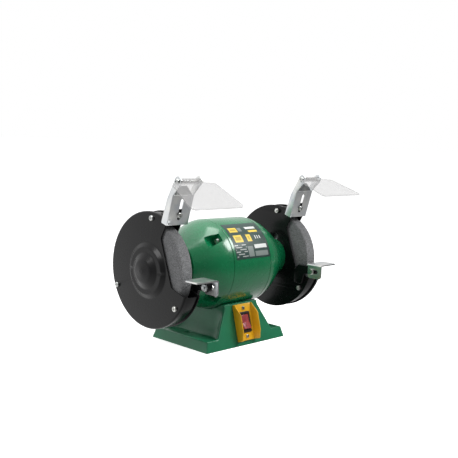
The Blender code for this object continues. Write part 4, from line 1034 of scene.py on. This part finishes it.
def makeGuardPlates():
    for word, side in sides.items():
        near, far = reachOf(f"guard_plate_{word}")
        radius = 90 * mm
        top, bottom = guard["opening"]
        high, low = guard["chord"]
        notch = fillet([fromFront(top, radius), (*fromFront(top, high), 6 * mm),
                        (*fromFront(bottom, low), 6 * mm),
                        fromFront(bottom, radius)], closed=False, steps=6)
        outline = notch[:0:-1] + rimArc(radius, top, bottom)[:-1]
        hole, circle, angle = guard["spareHole"]
        holes = [ring((0, shaftHeight), 14 * mm, 64), ring(fromFront(angle, circle), hole, 40)]
        holes += [ring(spot, 2.7 * mm, 24) for spot in boltSpots()]
        low, high = sorted((side * near, side * far))
        piece = slab(f"guardPlate_{word}", outline, low, high, holes, edge=0.4 * mm)
        finishPiece(piece, "frame", "black_enamel", blackEnamel, f"guard_plate_{word}")


def makeGuardBands():
    for word, side in sides.items():
        near, far = reachOf(f"guard_band_{word}")
        low, high = sorted((side * near, side * far))
        radius = 88 * mm
        top, bottom = guard["opening"][0] + math.radians(2.5), guard["opening"][1] - math.radians(2)
        outline = rimArc(radius, top, bottom) + rimArc(radius - guard["sheet"], top, bottom)[::-1]
        piece = slab(f"guardBand_{word}", outline, low, high, edge=0.3 * mm)
        finishPiece(piece, "frame", "black_enamel", blackEnamel, f"guard_band_{word}")


# The pressed cover's outside, from its lip over the rolled rim, the ring and the dome to the
# middle.
def coverSection(face):
    rim, ridge, dome = 90 * mm, guard["ridge"], guard["dome"]
    lift, crown = guard["ridgeHeight"], guard["domeHeight"]
    points = [(face - guard["lip"], rim), (face, rim, 3.2 * mm), (face, ridge, 3.5 * mm),
              (face + lift, ridge - 7 * mm, 3.5 * mm), (face + lift, dome, 4 * mm),
              (face + 0.82 * crown, 0.62 * dome, 14 * mm), (face + crown, 0.12 * dome, 6 * mm),
              (face + crown, 0)]
    return fillet(points, closed=False, steps=7)


def makeGuardCovers():
    for word, side in sides.items():
        lip = reachOf(f"guard_cover_{word}")[0]
        face = lip + guard["lip"]
        sheet = guard["sheet"]
        outside = coverSection(face)
        inside = []
        for i, (along, radius) in enumerate(outside):
            last = Vector(outside[max(0, i - 1)])
            ahead = Vector(outside[min(len(outside) - 1, i + 1)])
            run = (ahead - last).normalized()
            inside.append((along + run.y * sheet, max(0, radius - run.x * sheet)))
        inside[0] = (outside[0][0], outside[0][1] - sheet)
        inside[-1] = (outside[-1][0] - sheet, 0)
        piece = turned(f"guardCover_{word}", outside[::-1] + inside, side, steps=240, closed=False)
        for corner in piece.data.vertices:
            for sign in (-1, 1):
                away = math.hypot(corner.co.y - sign * guard["dimpleCircle"],
                                  corner.co.z - shaftHeight)
                share = max(0, 1 - (away / guard["dimpleRadius"]) ** 2)
                corner.co.x -= side * guard["dimpleDepth"] * share ** 2
        low, high = sorted((side * (lip - 12 * mm), side * (face + 30 * mm)))
        tools = [slab("coverOpening", openingWedge(170 * mm), low, high)]
        for y, z in boltSpots():
            tools.append(rod("coverHole", 2.7 * mm, low, high, centre=(0, y, z), steps=24))
        piece = shaped(piece, "DIFFERENCE", *tools)
        finishPiece(piece, "frame", "black_enamel", blackEnamel, f"guard_cover_{word}")


def makeCoverBolts():
    nodes = [f"cover_bolt_{word}_{i}" for word in sides for i in (1, 2, 3)]
    spots, headings = [], []
    for node in nodes:
        middle = middleOf(node)
        side = math.copysign(1, middle.x)
        far = reachOf(node)[1] - 3 * mm
        spots.append((side * far, middle.y, middle.z))
        headings.append((side, 0, 0))
    near, far = reachOf(nodes[0])
    length = (far - near) / mm - 3
    master = boltMaster("coverMaster", "pan", length, nutAt=length - 5.8)
    piece = fasteners("coverBolts", master, spots, headings, screwZinc)
    finishPiece(piece, "frame", "zinc_plate", screwZinc, *nodes)


makeGuardPlates()
makeGuardBands()
makeGuardCovers()
makeCoverBolts()
print("guards closed")


shield = {
    "foot": fromFront(math.radians(58.6), 85 * mm),
    "lean": math.radians(15.8),
    "width": 41.6 * mm,
    "sheet": 1.5 * mm,
    "depth": 13 * mm,
    "web": 47 * mm,
    "noseHeight": 15 * mm,
    "noseWidth": 18 * mm,
    "noseBend": math.radians(27),
    "pivot": (-4 * mm, 69.5 * mm),
    "ear": 7.5 * mm,
    "slot": (11 * mm, 38 * mm, 3 * mm),
    "boltHeight": 15.5 * mm,
    "length": 74 * mm,
    "thickness": 2.4 * mm,
    "barrel": 4.6 * mm,
    "backHalf": 42 * mm,
    "frontHalf": 52 * mm,
    "tilt": {"left": math.radians(30), "right": math.radians(20)},
}
bracketPlace = Matrix.Translation((0, *shield["foot"])) @ Matrix.Rotation(shield["lean"], 4, "X")
pivotSpot = bracketPlace @ Vector((0, *shield["pivot"]))


def bracketSide():
    pivot, depth, web = shield["pivot"], shield["depth"], shield["web"]
    ear = arc(pivot, shield["ear"], math.radians(-10), math.radians(190), 18)
    back = [(depth, 0, 2 * mm), (0.85 * depth, 0.8 * web, 6 * mm),
            (0.55 * depth, web + 7 * mm, 4 * mm)]
    return fillet([(0, 0), *back, *ear, (0, web, 5 * mm)], steps=5)


def makeBrackets():
    for word in sides:
        low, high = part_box(f"shield_bracket_{word}")
        middle = (low.x + high.x) / 2
        half, sheet = shield["width"] / 2, shield["sheet"]
        web, deep = shield["web"], 3 * shield["depth"]
        upright = bracketPlace @ Matrix.Translation((middle, 0, 0))
        piece = slab(f"shieldBracket_{word}", bracketSide(), -half, half, edge=0.5 * mm,
                     matrix=upright)
        inside = [(sheet, -deep), (deep, -deep), (deep, 90 * mm), (-deep, 90 * mm), (-deep, web),
                  (sheet, web)]
        hollow = slab("hollow", inside, sheet - half, half - sheet, matrix=upright)
        piece = softened(shaped(piece, "DIFFERENCE", hollow), 0.35 * mm)
        width, tip = half - sheet - 0.5 * mm, shield["noseWidth"] / 2
        outline = fillet([(-width, -0.4 * mm), (width, -0.4 * mm),
                          (tip, shield["noseHeight"], 3 * mm),
                          (-tip, shield["noseHeight"], 3 * mm)])
        bent = Matrix.Rotation(-shield["noseBend"], 4, "X")
        hinge = upright @ Matrix.Translation((0, 0.03 * mm, shield["web"] - 1.37 * mm)) @ bent
        nose = slab("nose", outline, 0.05 * mm, sheet, across="Y", matrix=hinge)
        piece = shaped(piece, "UNION", nose)
        start, end, wide = shield["slot"]
        slot = slab("slot", slotOutline((0, start), (0, end), wide), -20 * mm, 20 * mm, across="Y",
                    matrix=upright)
        eye = rod("eye", 2.7 * mm, -half - mm, half + mm, centre=(0, *shield["pivot"]),
                  matrix=upright)
        piece = shaped(piece, "DIFFERENCE", slot, eye)
        finishPiece(piece, f"bracket_{word}", "zinc_plate", zinc, f"shield_bracket_{word}")


# The lug that the bracket is clamped to, bent up from the guard's band.
def makeTabs():
    for word in sides:
        low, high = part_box(f"shield_tab_{word}")
        front, thick = 1.9 * mm, 2 * mm
        lug = [(front, 5 * mm), (front, 24 * mm), (front + thick, 24 * mm), (front + thick, 9 * mm)]
        upright = [bracketPlace @ Vector((0, *p)) for p in lug]
        inner = 88.3 * mm
        start = guard["opening"][0] + math.radians(4.5)
        base = [fromFront(start + math.radians(a), inner + thick) for a in (2, 5, 9, 13)]
        base += [fromFront(start + math.radians(a), inner) for a in (13, 9, 5, 0)]
        outline = [(p.y, p.z) for p in upright] + base
        piece = slab(f"shieldTab_{word}", outline, low.x, high.x, edge=0.3 * mm)
        place = bracketPlace @ Matrix.Translation(((low.x + high.x) / 2, 0, shield["boltHeight"]))
        piece = shaped(piece, "DIFFERENCE",
                       rod("tabHole", 2.7 * mm, -6 * mm, 12 * mm, "Y", matrix=place, steps=24))
        finishPiece(piece, "frame", "black_enamel", blackEnamel, f"shield_tab_{word}")


def makeBracketBolts():
    heading = (bracketPlace.to_3x3() @ Vector((0, -1, 0))).normalized()
    nodes = [f"bracket_bolt_{word}" for word in sides]
    spots = [bracketPlace @ Vector((middleOf(node).x, -0.3 * mm,
                                    shield["boltHeight"])) for node in nodes]
    master = boltMaster("bracketMaster", "pan", 10.2, nutAt=4.4)
    finishPiece(fasteners("bracketBolts", master, spots, [heading] * 2, screwZinc), "frame",
                "zinc_plate", screwZinc,
                *nodes)
    for word in sides:
        low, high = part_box(f"pivot_bolt_{word}")
        length = (high.x - low.x) / mm - 3.2
        master = boltMaster("pivotMaster", "pan", length, nutAt=shield["width"] / mm + 0.6)
        spot = (low.x + 3.2 * mm, pivotSpot.y, pivotSpot.z)
        piece = fasteners(f"pivotBolt_{word}", master, [spot], [(-1, 0, 0)], screwZinc)
        finishPiece(piece, f"bracket_{word}", "zinc_plate", screwZinc, f"pivot_bolt_{word}")


def makeShields():
    for word in sides:
        middle = middleOf(f"shield_bracket_{word}").x
        place = Matrix.Translation((middle, pivotSpot.y,
                                    pivotSpot.z)) @ Matrix.Rotation(shield["tilt"][word], 4, "X")
        half = shield["width"] / 2 - shield["sheet"] - 0.5 * mm
        back, front, length = shield["backHalf"], shield["frontHalf"], shield["length"]
        right = [(half, 0), (half, -9 * mm, 2 * mm), (back, -11.5 * mm, 5 * mm),
                 (front, -length, 7 * mm)]
        outline = fillet(right + [(-p[0], *p[1:]) for p in reversed(right)], steps=7)
        over = shield["barrel"]
        sheet = slab(f"eyeShield_{word}", outline, over - shield["thickness"], over, across="Z",
                     edge=0.5 * mm,
                     matrix=place)
        barrel = turned("barrel", fillet([(-half, 0), (-half, shield["barrel"], mm),
                                          (half, shield["barrel"], mm),
                                          (half, 0)], closed=False), steps=48, closed=False,
                        centre=(0, 0, 0), matrix=place)
        bore = rod("bore", 2.7 * mm, -2 * half, 2 * half, matrix=place, steps=32)
        sheet = shaped(sheet, "UNION", barrel)
        sheet = shaped(sheet, "DIFFERENCE", bore)
        finishPiece(sheet, f"shield_{word}", "clear_plastic", clear, f"eye_shield_{word}")


makeBrackets()
makeTabs()
makeBracketBolts()
makeShields()
print("shields hung")


rest = {
    "sheet": 2 * mm,
    "bend": 3.2 * mm,
    "flangeHeight": 24 * mm,
    "depth": 30 * mm,
    "flangeReach": 28 * mm,
    "slotSetback": 16 * mm,
    "slotReach": 5.6 * mm,
    "slotRadius": 3.4 * mm,
    "bolt": (-97 * mm, shaftHeight - 14 * mm),
    "armHeight": 15 * mm,
}


def makeRests():
    for word, side in sides.items():
        low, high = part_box(f"tool_rest_{word}")
        near, far = reachOf(f"tool_rest_{word}")
        top, front, back = high.z, low.y, low.y + rest["depth"]
        sheet, bend = rest["sheet"], rest["bend"]
        bottom = top - rest["flangeHeight"]
        section = [(near, bottom), (near, top, bend), (far, top), (far, top - sheet),
                   (near + sheet, top - sheet,
                   bend - sheet), (near + sheet, bottom)]
        section = [(side * p[0], *p[1:]) for p in section]
        bar = slab(f"toolRest_{word}", fillet(section, steps=6), front - mm, back + mm, across="Y")
        corner = 5 * mm
        outline = [(side * (near - mm), back), (side * (near - mm), front),
                   (side * far, front, corner),
                   (side * far, back, corner)]
        plan = slab("plan", fillet(outline, steps=8), bottom - mm, top + mm, across="Z")
        flangeBack = front + rest["flangeReach"]
        view = [(back + mm, top + mm), (front - mm, top + mm), (front - mm, top - 4 * mm),
                (front, top - 4 * mm),
                (front, bottom, corner), (flangeBack, bottom, corner),
                (flangeBack, top - sheet - mm, 2 * mm),
                (back + mm, top - sheet - mm)]
        elevation = slab("elevation", fillet(view, steps=8),
                         *sorted((side * (near - mm), side * (far + mm))))
        bar = shaped(bar, "INTERSECT", plan)
        bar = shaped(bar, "INTERSECT", elevation)
        middle = front + rest["slotSetback"]
        reach, radius = rest["slotReach"], rest["slotRadius"]
        boltZ = rest["bolt"][1]
        slot = slab("slot", slotOutline((middle - reach, boltZ), (middle + reach, boltZ), radius),
                    *sorted((side * (near - mm), side * (near + 4 * mm))))
        bar = shaped(bar, "DIFFERENCE", slot)
        finishPiece(bar, f"rest_{word}", "zinc_plate", zinc, f"tool_rest_{word}")


def makeArms():
    half = rest["armHeight"] / 2
    boltY, boltZ = rest["bolt"]
    nose = arc((boltY, boltZ), half, math.radians(90), math.radians(255), 16)
    root, foot = -58 * mm, shaftHeight - 40 * mm
    outline = [*nose, (root - 22 * mm, foot + 20 * mm, 4 * mm), (root - 16 * mm, foot, 4 * mm),
               (root, foot + 2 * mm, 3 * mm), (root, boltZ - half + 2 * mm, 3 * mm),
               (root - 6 * mm, boltZ + half, 4 * mm)]
    for word in sides:
        low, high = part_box(f"rest_arm_{word}")
        piece = slab(f"restArm_{word}", fillet(outline), low.x, high.x,
                     [ring((boltY, boltZ), 3.3 * mm, 32)],
                     edge=0.9 * mm)
        finishPiece(piece, "frame", "black_enamel", blackEnamel, f"rest_arm_{word}")


def makeRestBolts():
    for word, side in sides.items():
        near, far = reachOf(f"rest_bolt_{word}")
        seat = near + 4 * mm
        length = (far - seat) / mm
        nutAt = (reachOf(f"rest_arm_{word}")[1] - seat) / mm + 0.3
        master = boltMaster("restMaster", "hex", length, nutAt=nutAt, nutHeight=4.7, nutRadius=5.6)
        boltY, boltZ = rest["bolt"]
        piece = fasteners(f"restBolt_{word}", master, [(side * seat, boltY, boltZ)],
                          [(-side, 0, 0)], screwZinc)
        finishPiece(piece, f"rest_pivot_{word}", "zinc_plate", screwZinc, f"rest_bolt_{word}")


makeRests()
makeArms()
makeRestBolts()
print("rests set")


switch = {
    "halfWidth": 21 * mm,
    "halfHeight": 30 * mm,
    "thickness": 2.5 * mm,
    "cheek": 13 * mm,
    "frame": (11.5 * mm, 17 * mm, 1.6 * mm),
    "box": (10 * mm, 14.5 * mm, 24 * mm),
    "rocker": (8 * mm, 12 * mm, 7 * mm),
    "throw": math.radians(9),
}


# Lofted up the pedestal's face: its cheeks rise to a flat crest and fall away again.
def makeBezel():
    half, tall, back = switch["halfWidth"], switch["halfHeight"], 0.3 * mm
    front = back + switch["thickness"]
    crest = front + switch["cheek"]
    stations = [(-tall, crest - 4.5 * mm), (-0.5 * tall, crest), (0.42 * tall, crest),
                (tall, front + 1.5 * mm)]
    bm = bmesh.new()
    loops = []
    for z, top in stations:
        slope = (top - front) * 0.12
        section = [(-half, back), (-half + 0.4 * mm, top), (-half + 2.2 * mm, top),
                   (-half + 2.8 * mm + slope, front)]
        section += [(-x, y) for x, y in reversed(section)]
        loops.append([bm.verts.new((x, y, z)) for x, y in section])
    for one, two in zip(loops, loops[1:]):
        for j in range(len(one)):
            k = (j + 1) % len(one)
            bm.faces.new((one[j], one[k], two[k], two[j]))
    bm.faces.new(loops[0])
    bm.faces.new(loops[-1])
    bmesh.ops.recalc_face_normals(bm, faces=bm.faces)
    piece = keep("switchBezel", bm)
    wide, high = switch["box"][0] + 0.5 * mm, switch["box"][1] + 0.5 * mm
    piece = shaped(piece, "DIFFERENCE", brick("window", (-wide, -mm, -high), (wide, 9 * mm, high)))
    piece = softened(piece, 0.7 * mm, 3)
    piece.data.transform(switchFrame())
    finishPiece(piece, "frame", "yellow_plastic", yellowPlastic, "switch_bezel")
    master = boltMaster("bezelMaster", "pan", 6)
    place = switchFrame()
    spots = [place @ Vector((0, front, sign * 23 * mm)) for sign in (-1, 1)]
    heading = place.to_3x3() @ Vector((0, 1, 0))
    finishPiece(fasteners("bezelScrews", master, spots, [heading] * 2, screwZinc, 0.7), "frame",
                "zinc_plate", screwZinc)


def makeSwitch():
    place = switchFrame()
    seat = 0.3 * mm + switch["thickness"] + 0.3 * mm
    halfWide, halfTall, thick = switch["frame"]
    boxWide, boxTall, deep = switch["box"]
    wide, tall, thickRocker = switch["rocker"]
    lip = seat + thick
    rim = fillet([(-halfWide, -halfTall, 2 * mm), (halfWide, -halfTall, 2 * mm),
                  (halfWide, halfTall, 2 * mm),
                  (-halfWide, halfTall, 2 * mm)])
    body = slab("switchHousing", rim, -lip, -seat, across="Y", edge=0.5 * mm)
    body.data.transform(Matrix.Diagonal((1, -1, 1, 1)))
    body.data.flip_normals()
    body = shaped(body, "UNION", brick("box", (-boxWide, seat - deep, -boxTall),
                                       (boxWide, seat + 0.6 * mm, boxTall)))
    well = lip - thickRocker - 2.5 * mm
    hollow = brick("well", (-wide - 0.5 * mm, well, -tall - 1.2 * mm),
                   (wide + 0.5 * mm, 2 * lip, tall + 1.2 * mm))
    body = shaped(body, "DIFFERENCE", hollow)
    body.data.transform(place)
    finishPiece(body, "frame", "black_plastic", blackPlastic, "switch_housing")

    rise = 0.42 * thickRocker
    tip = rise + 1.2 * mm
    outline = [(tip, -tall, 0.8 * mm), (rise - 0.6 * mm, 0, 14 * mm), (tip, tall, 0.8 * mm),
               (-0.1 * thickRocker, tall, 0.6 * mm), (-0.55 * thickRocker, 0, 6 * mm),
               (-0.1 * thickRocker, -tall, 0.6 * mm)]
    throw = Matrix.Rotation(switch["throw"], 4, "X")
    pivot = Matrix.Translation((0, lip - 0.35 * thickRocker, 0)) @ throw
    rocker = slab("rockerLens", fillet(outline, steps=8), -wide, wide, edge=0.5 * mm,
                  matrix=place @ pivot)
    finishPiece(rocker, "rocker", "red_lens", redLens, "rocker")


def makeGland():
    place = switchFrame(1, 34 * mm) @ Matrix.Rotation(math.pi / 2, 4, "Z")
    outer, neck, bore = 9 * mm, 6 * mm, 3.6 * mm
    profile = [(0.3 * mm, outer, 0.4 * mm), (2.2 * mm, outer, 0.8 * mm),
               (3.2 * mm, outer - 2 * mm, 0.8 * mm),
               (4 * mm, bore + 1.6 * mm, 0.5 * mm), (4 * mm, bore, 0.6 * mm), (-9 * mm, bore),
               (-9 * mm, neck),
               (0.3 * mm, neck)]
    piece = turned("cableGland", fillet(profile), steps=64, centre=(0, 0, 0), matrix=place)
    finishPiece(piece, "frame", "black_rubber", blackRubber, "cable_gland")


makeBezel()
makeSwitch()
makeGland()
print("switch fitted")


innerFinishes = {
    "bottom_plate": zinc,
    "stator_core": stack,
    "rotor_core": stack,
    "winding": copper,
    "capacitor": blackPlastic,
    **{f"{piece}_{word}": steel for piece in ("bearing_outer", "bearing_inner",
                                              "ball_cage") for word in sides},
}
for node, material in innerFinishes.items():
    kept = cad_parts[node]
    for index in range(len(kept.material_slots)):
        kept.material_slots[index].material = material
print("inner pieces finished")


def makeFloor():
    bm = bmesh.new()
    bmesh.ops.create_grid(bm, x_segments=1, y_segments=1, size=60)
    floor = keep("floor", bm)
    constants = {"Specular IOR Level": 0.0, "Emission Color": (1, 1, 1, 1),
                 "Emission Strength": 0.8}
    made = Finish("paleFloor", (0.88, 0.88, 0.88), 0.7, constants=constants)
    made.set("Roughness", made.noise(3, 2) * 0.1 + 0.6)
    floor.data.materials.append(made.material)
    floor.visible_glossy = False
    floor.visible_diffuse = False


def makeLight(name, spot, target, size, power, colour=(1, 1, 1)):
    light = bpy.data.lights.new(name, "AREA")
    light.shape = "RECTANGLE"
    light.size, light.size_y = size
    light.energy = power
    light.color = colour
    lamp = bpy.data.objects.new(name, light)
    lamp.location = spot
    lamp.rotation_euler = (Vector(target) - Vector(spot)).to_track_quat("-Z", "Y").to_euler()
    bpy.context.scene.collection.objects.link(lamp)


def makeCamera():
    camera = bpy.data.cameras.new("camera")
    camera.lens = 59.03
    camera.sensor_width = 36
    camera.shift_y = 0.085
    camera.clip_start = 0.01
    azimuth, elevation, roll = math.radians(-45.22), math.radians(9.55), math.radians(2.01)
    back = Vector((math.sin(azimuth) * math.cos(elevation),
                   -math.cos(azimuth) * math.cos(elevation),
                   math.sin(elevation)))
    right = Vector((math.cos(azimuth), math.sin(azimuth), 0))
    up = back.cross(right)
    across = right * math.cos(roll) + up * math.sin(roll)
    upward = up * math.cos(roll) - right * math.sin(roll)
    turn = Matrix((across, upward, back)).transposed().to_4x4()
    stand = bpy.data.objects.new("camera", camera)
    stand.matrix_world = Matrix.Translation((-0.86435, -0.87582, 0.32472)) @ turn
    bpy.context.scene.collection.objects.link(stand)
    bpy.context.scene.camera = stand


def makeWorld():
    # White to the eye and to matt surfaces. Gloss sees a studio that is bright behind the grinder
    # and overhead, and dim on the user's side.
    world = bpy.data.worlds.new("studio")
    world.use_nodes = True
    made = Graph(world.node_tree, "Background")
    heading = made.node("ShaderNodeTexCoord", output="Generated")
    x, y, z = [made.node("ShaderNodeSeparateXYZ", inputs={0: heading}, output=k) for k in range(3)]

    def levels(value, *stops):
        return made.ramp(value * 0.5 + 0.5,
                         *[(place, (level, level, level, 1)) for place, level in stops])

    behind = levels(y * 0.97 - x * 0.25, (0.06, 0.06), (0.35, 0.15), (0.75, 0.8), (0.95, 1.0))
    around = levels(z, (0.0, 0.4), (0.3, 0.3), (0.46, 0.0), (0.62, 0.0), (0.85, 0.2), (0.97, 0.7))
    seen = made.node("ShaderNodeMix", {"data_type": "RGBA", "blend_type": "ADD"},
                     {0: 1.0, 6: behind, 7: around}, 2)
    glossy = made.node("ShaderNodeLightPath", output="Is Glossy Ray")
    dim = made.blend(made.node("ShaderNodeLightPath", output="Is Diffuse Ray"), (1, 1, 1),
                     (0.42, 0.42, 0.42))
    made.set("Color", made.blend(glossy, dim, seen))
    made.set("Strength", 1.0)
    bpy.context.scene.world = world
    bpy.context.scene.view_settings.view_transform = "Standard"


makeFloor()
makeWorld()
makeCamera()
target = (0, 0, shaftHeight)
makeLight("keySoftbox", (0.75, -0.95, 1.25), target, (0.8, 0.6), 19)
makeLight("sideSoftbox", (-1.1, 0.1, 0.95), target, (0.5, 0.5), 5)
makeLight("topSoftbox", (0.1, -0.1, 1.4), target, (0.9, 0.5), 6)
print("studio lit")
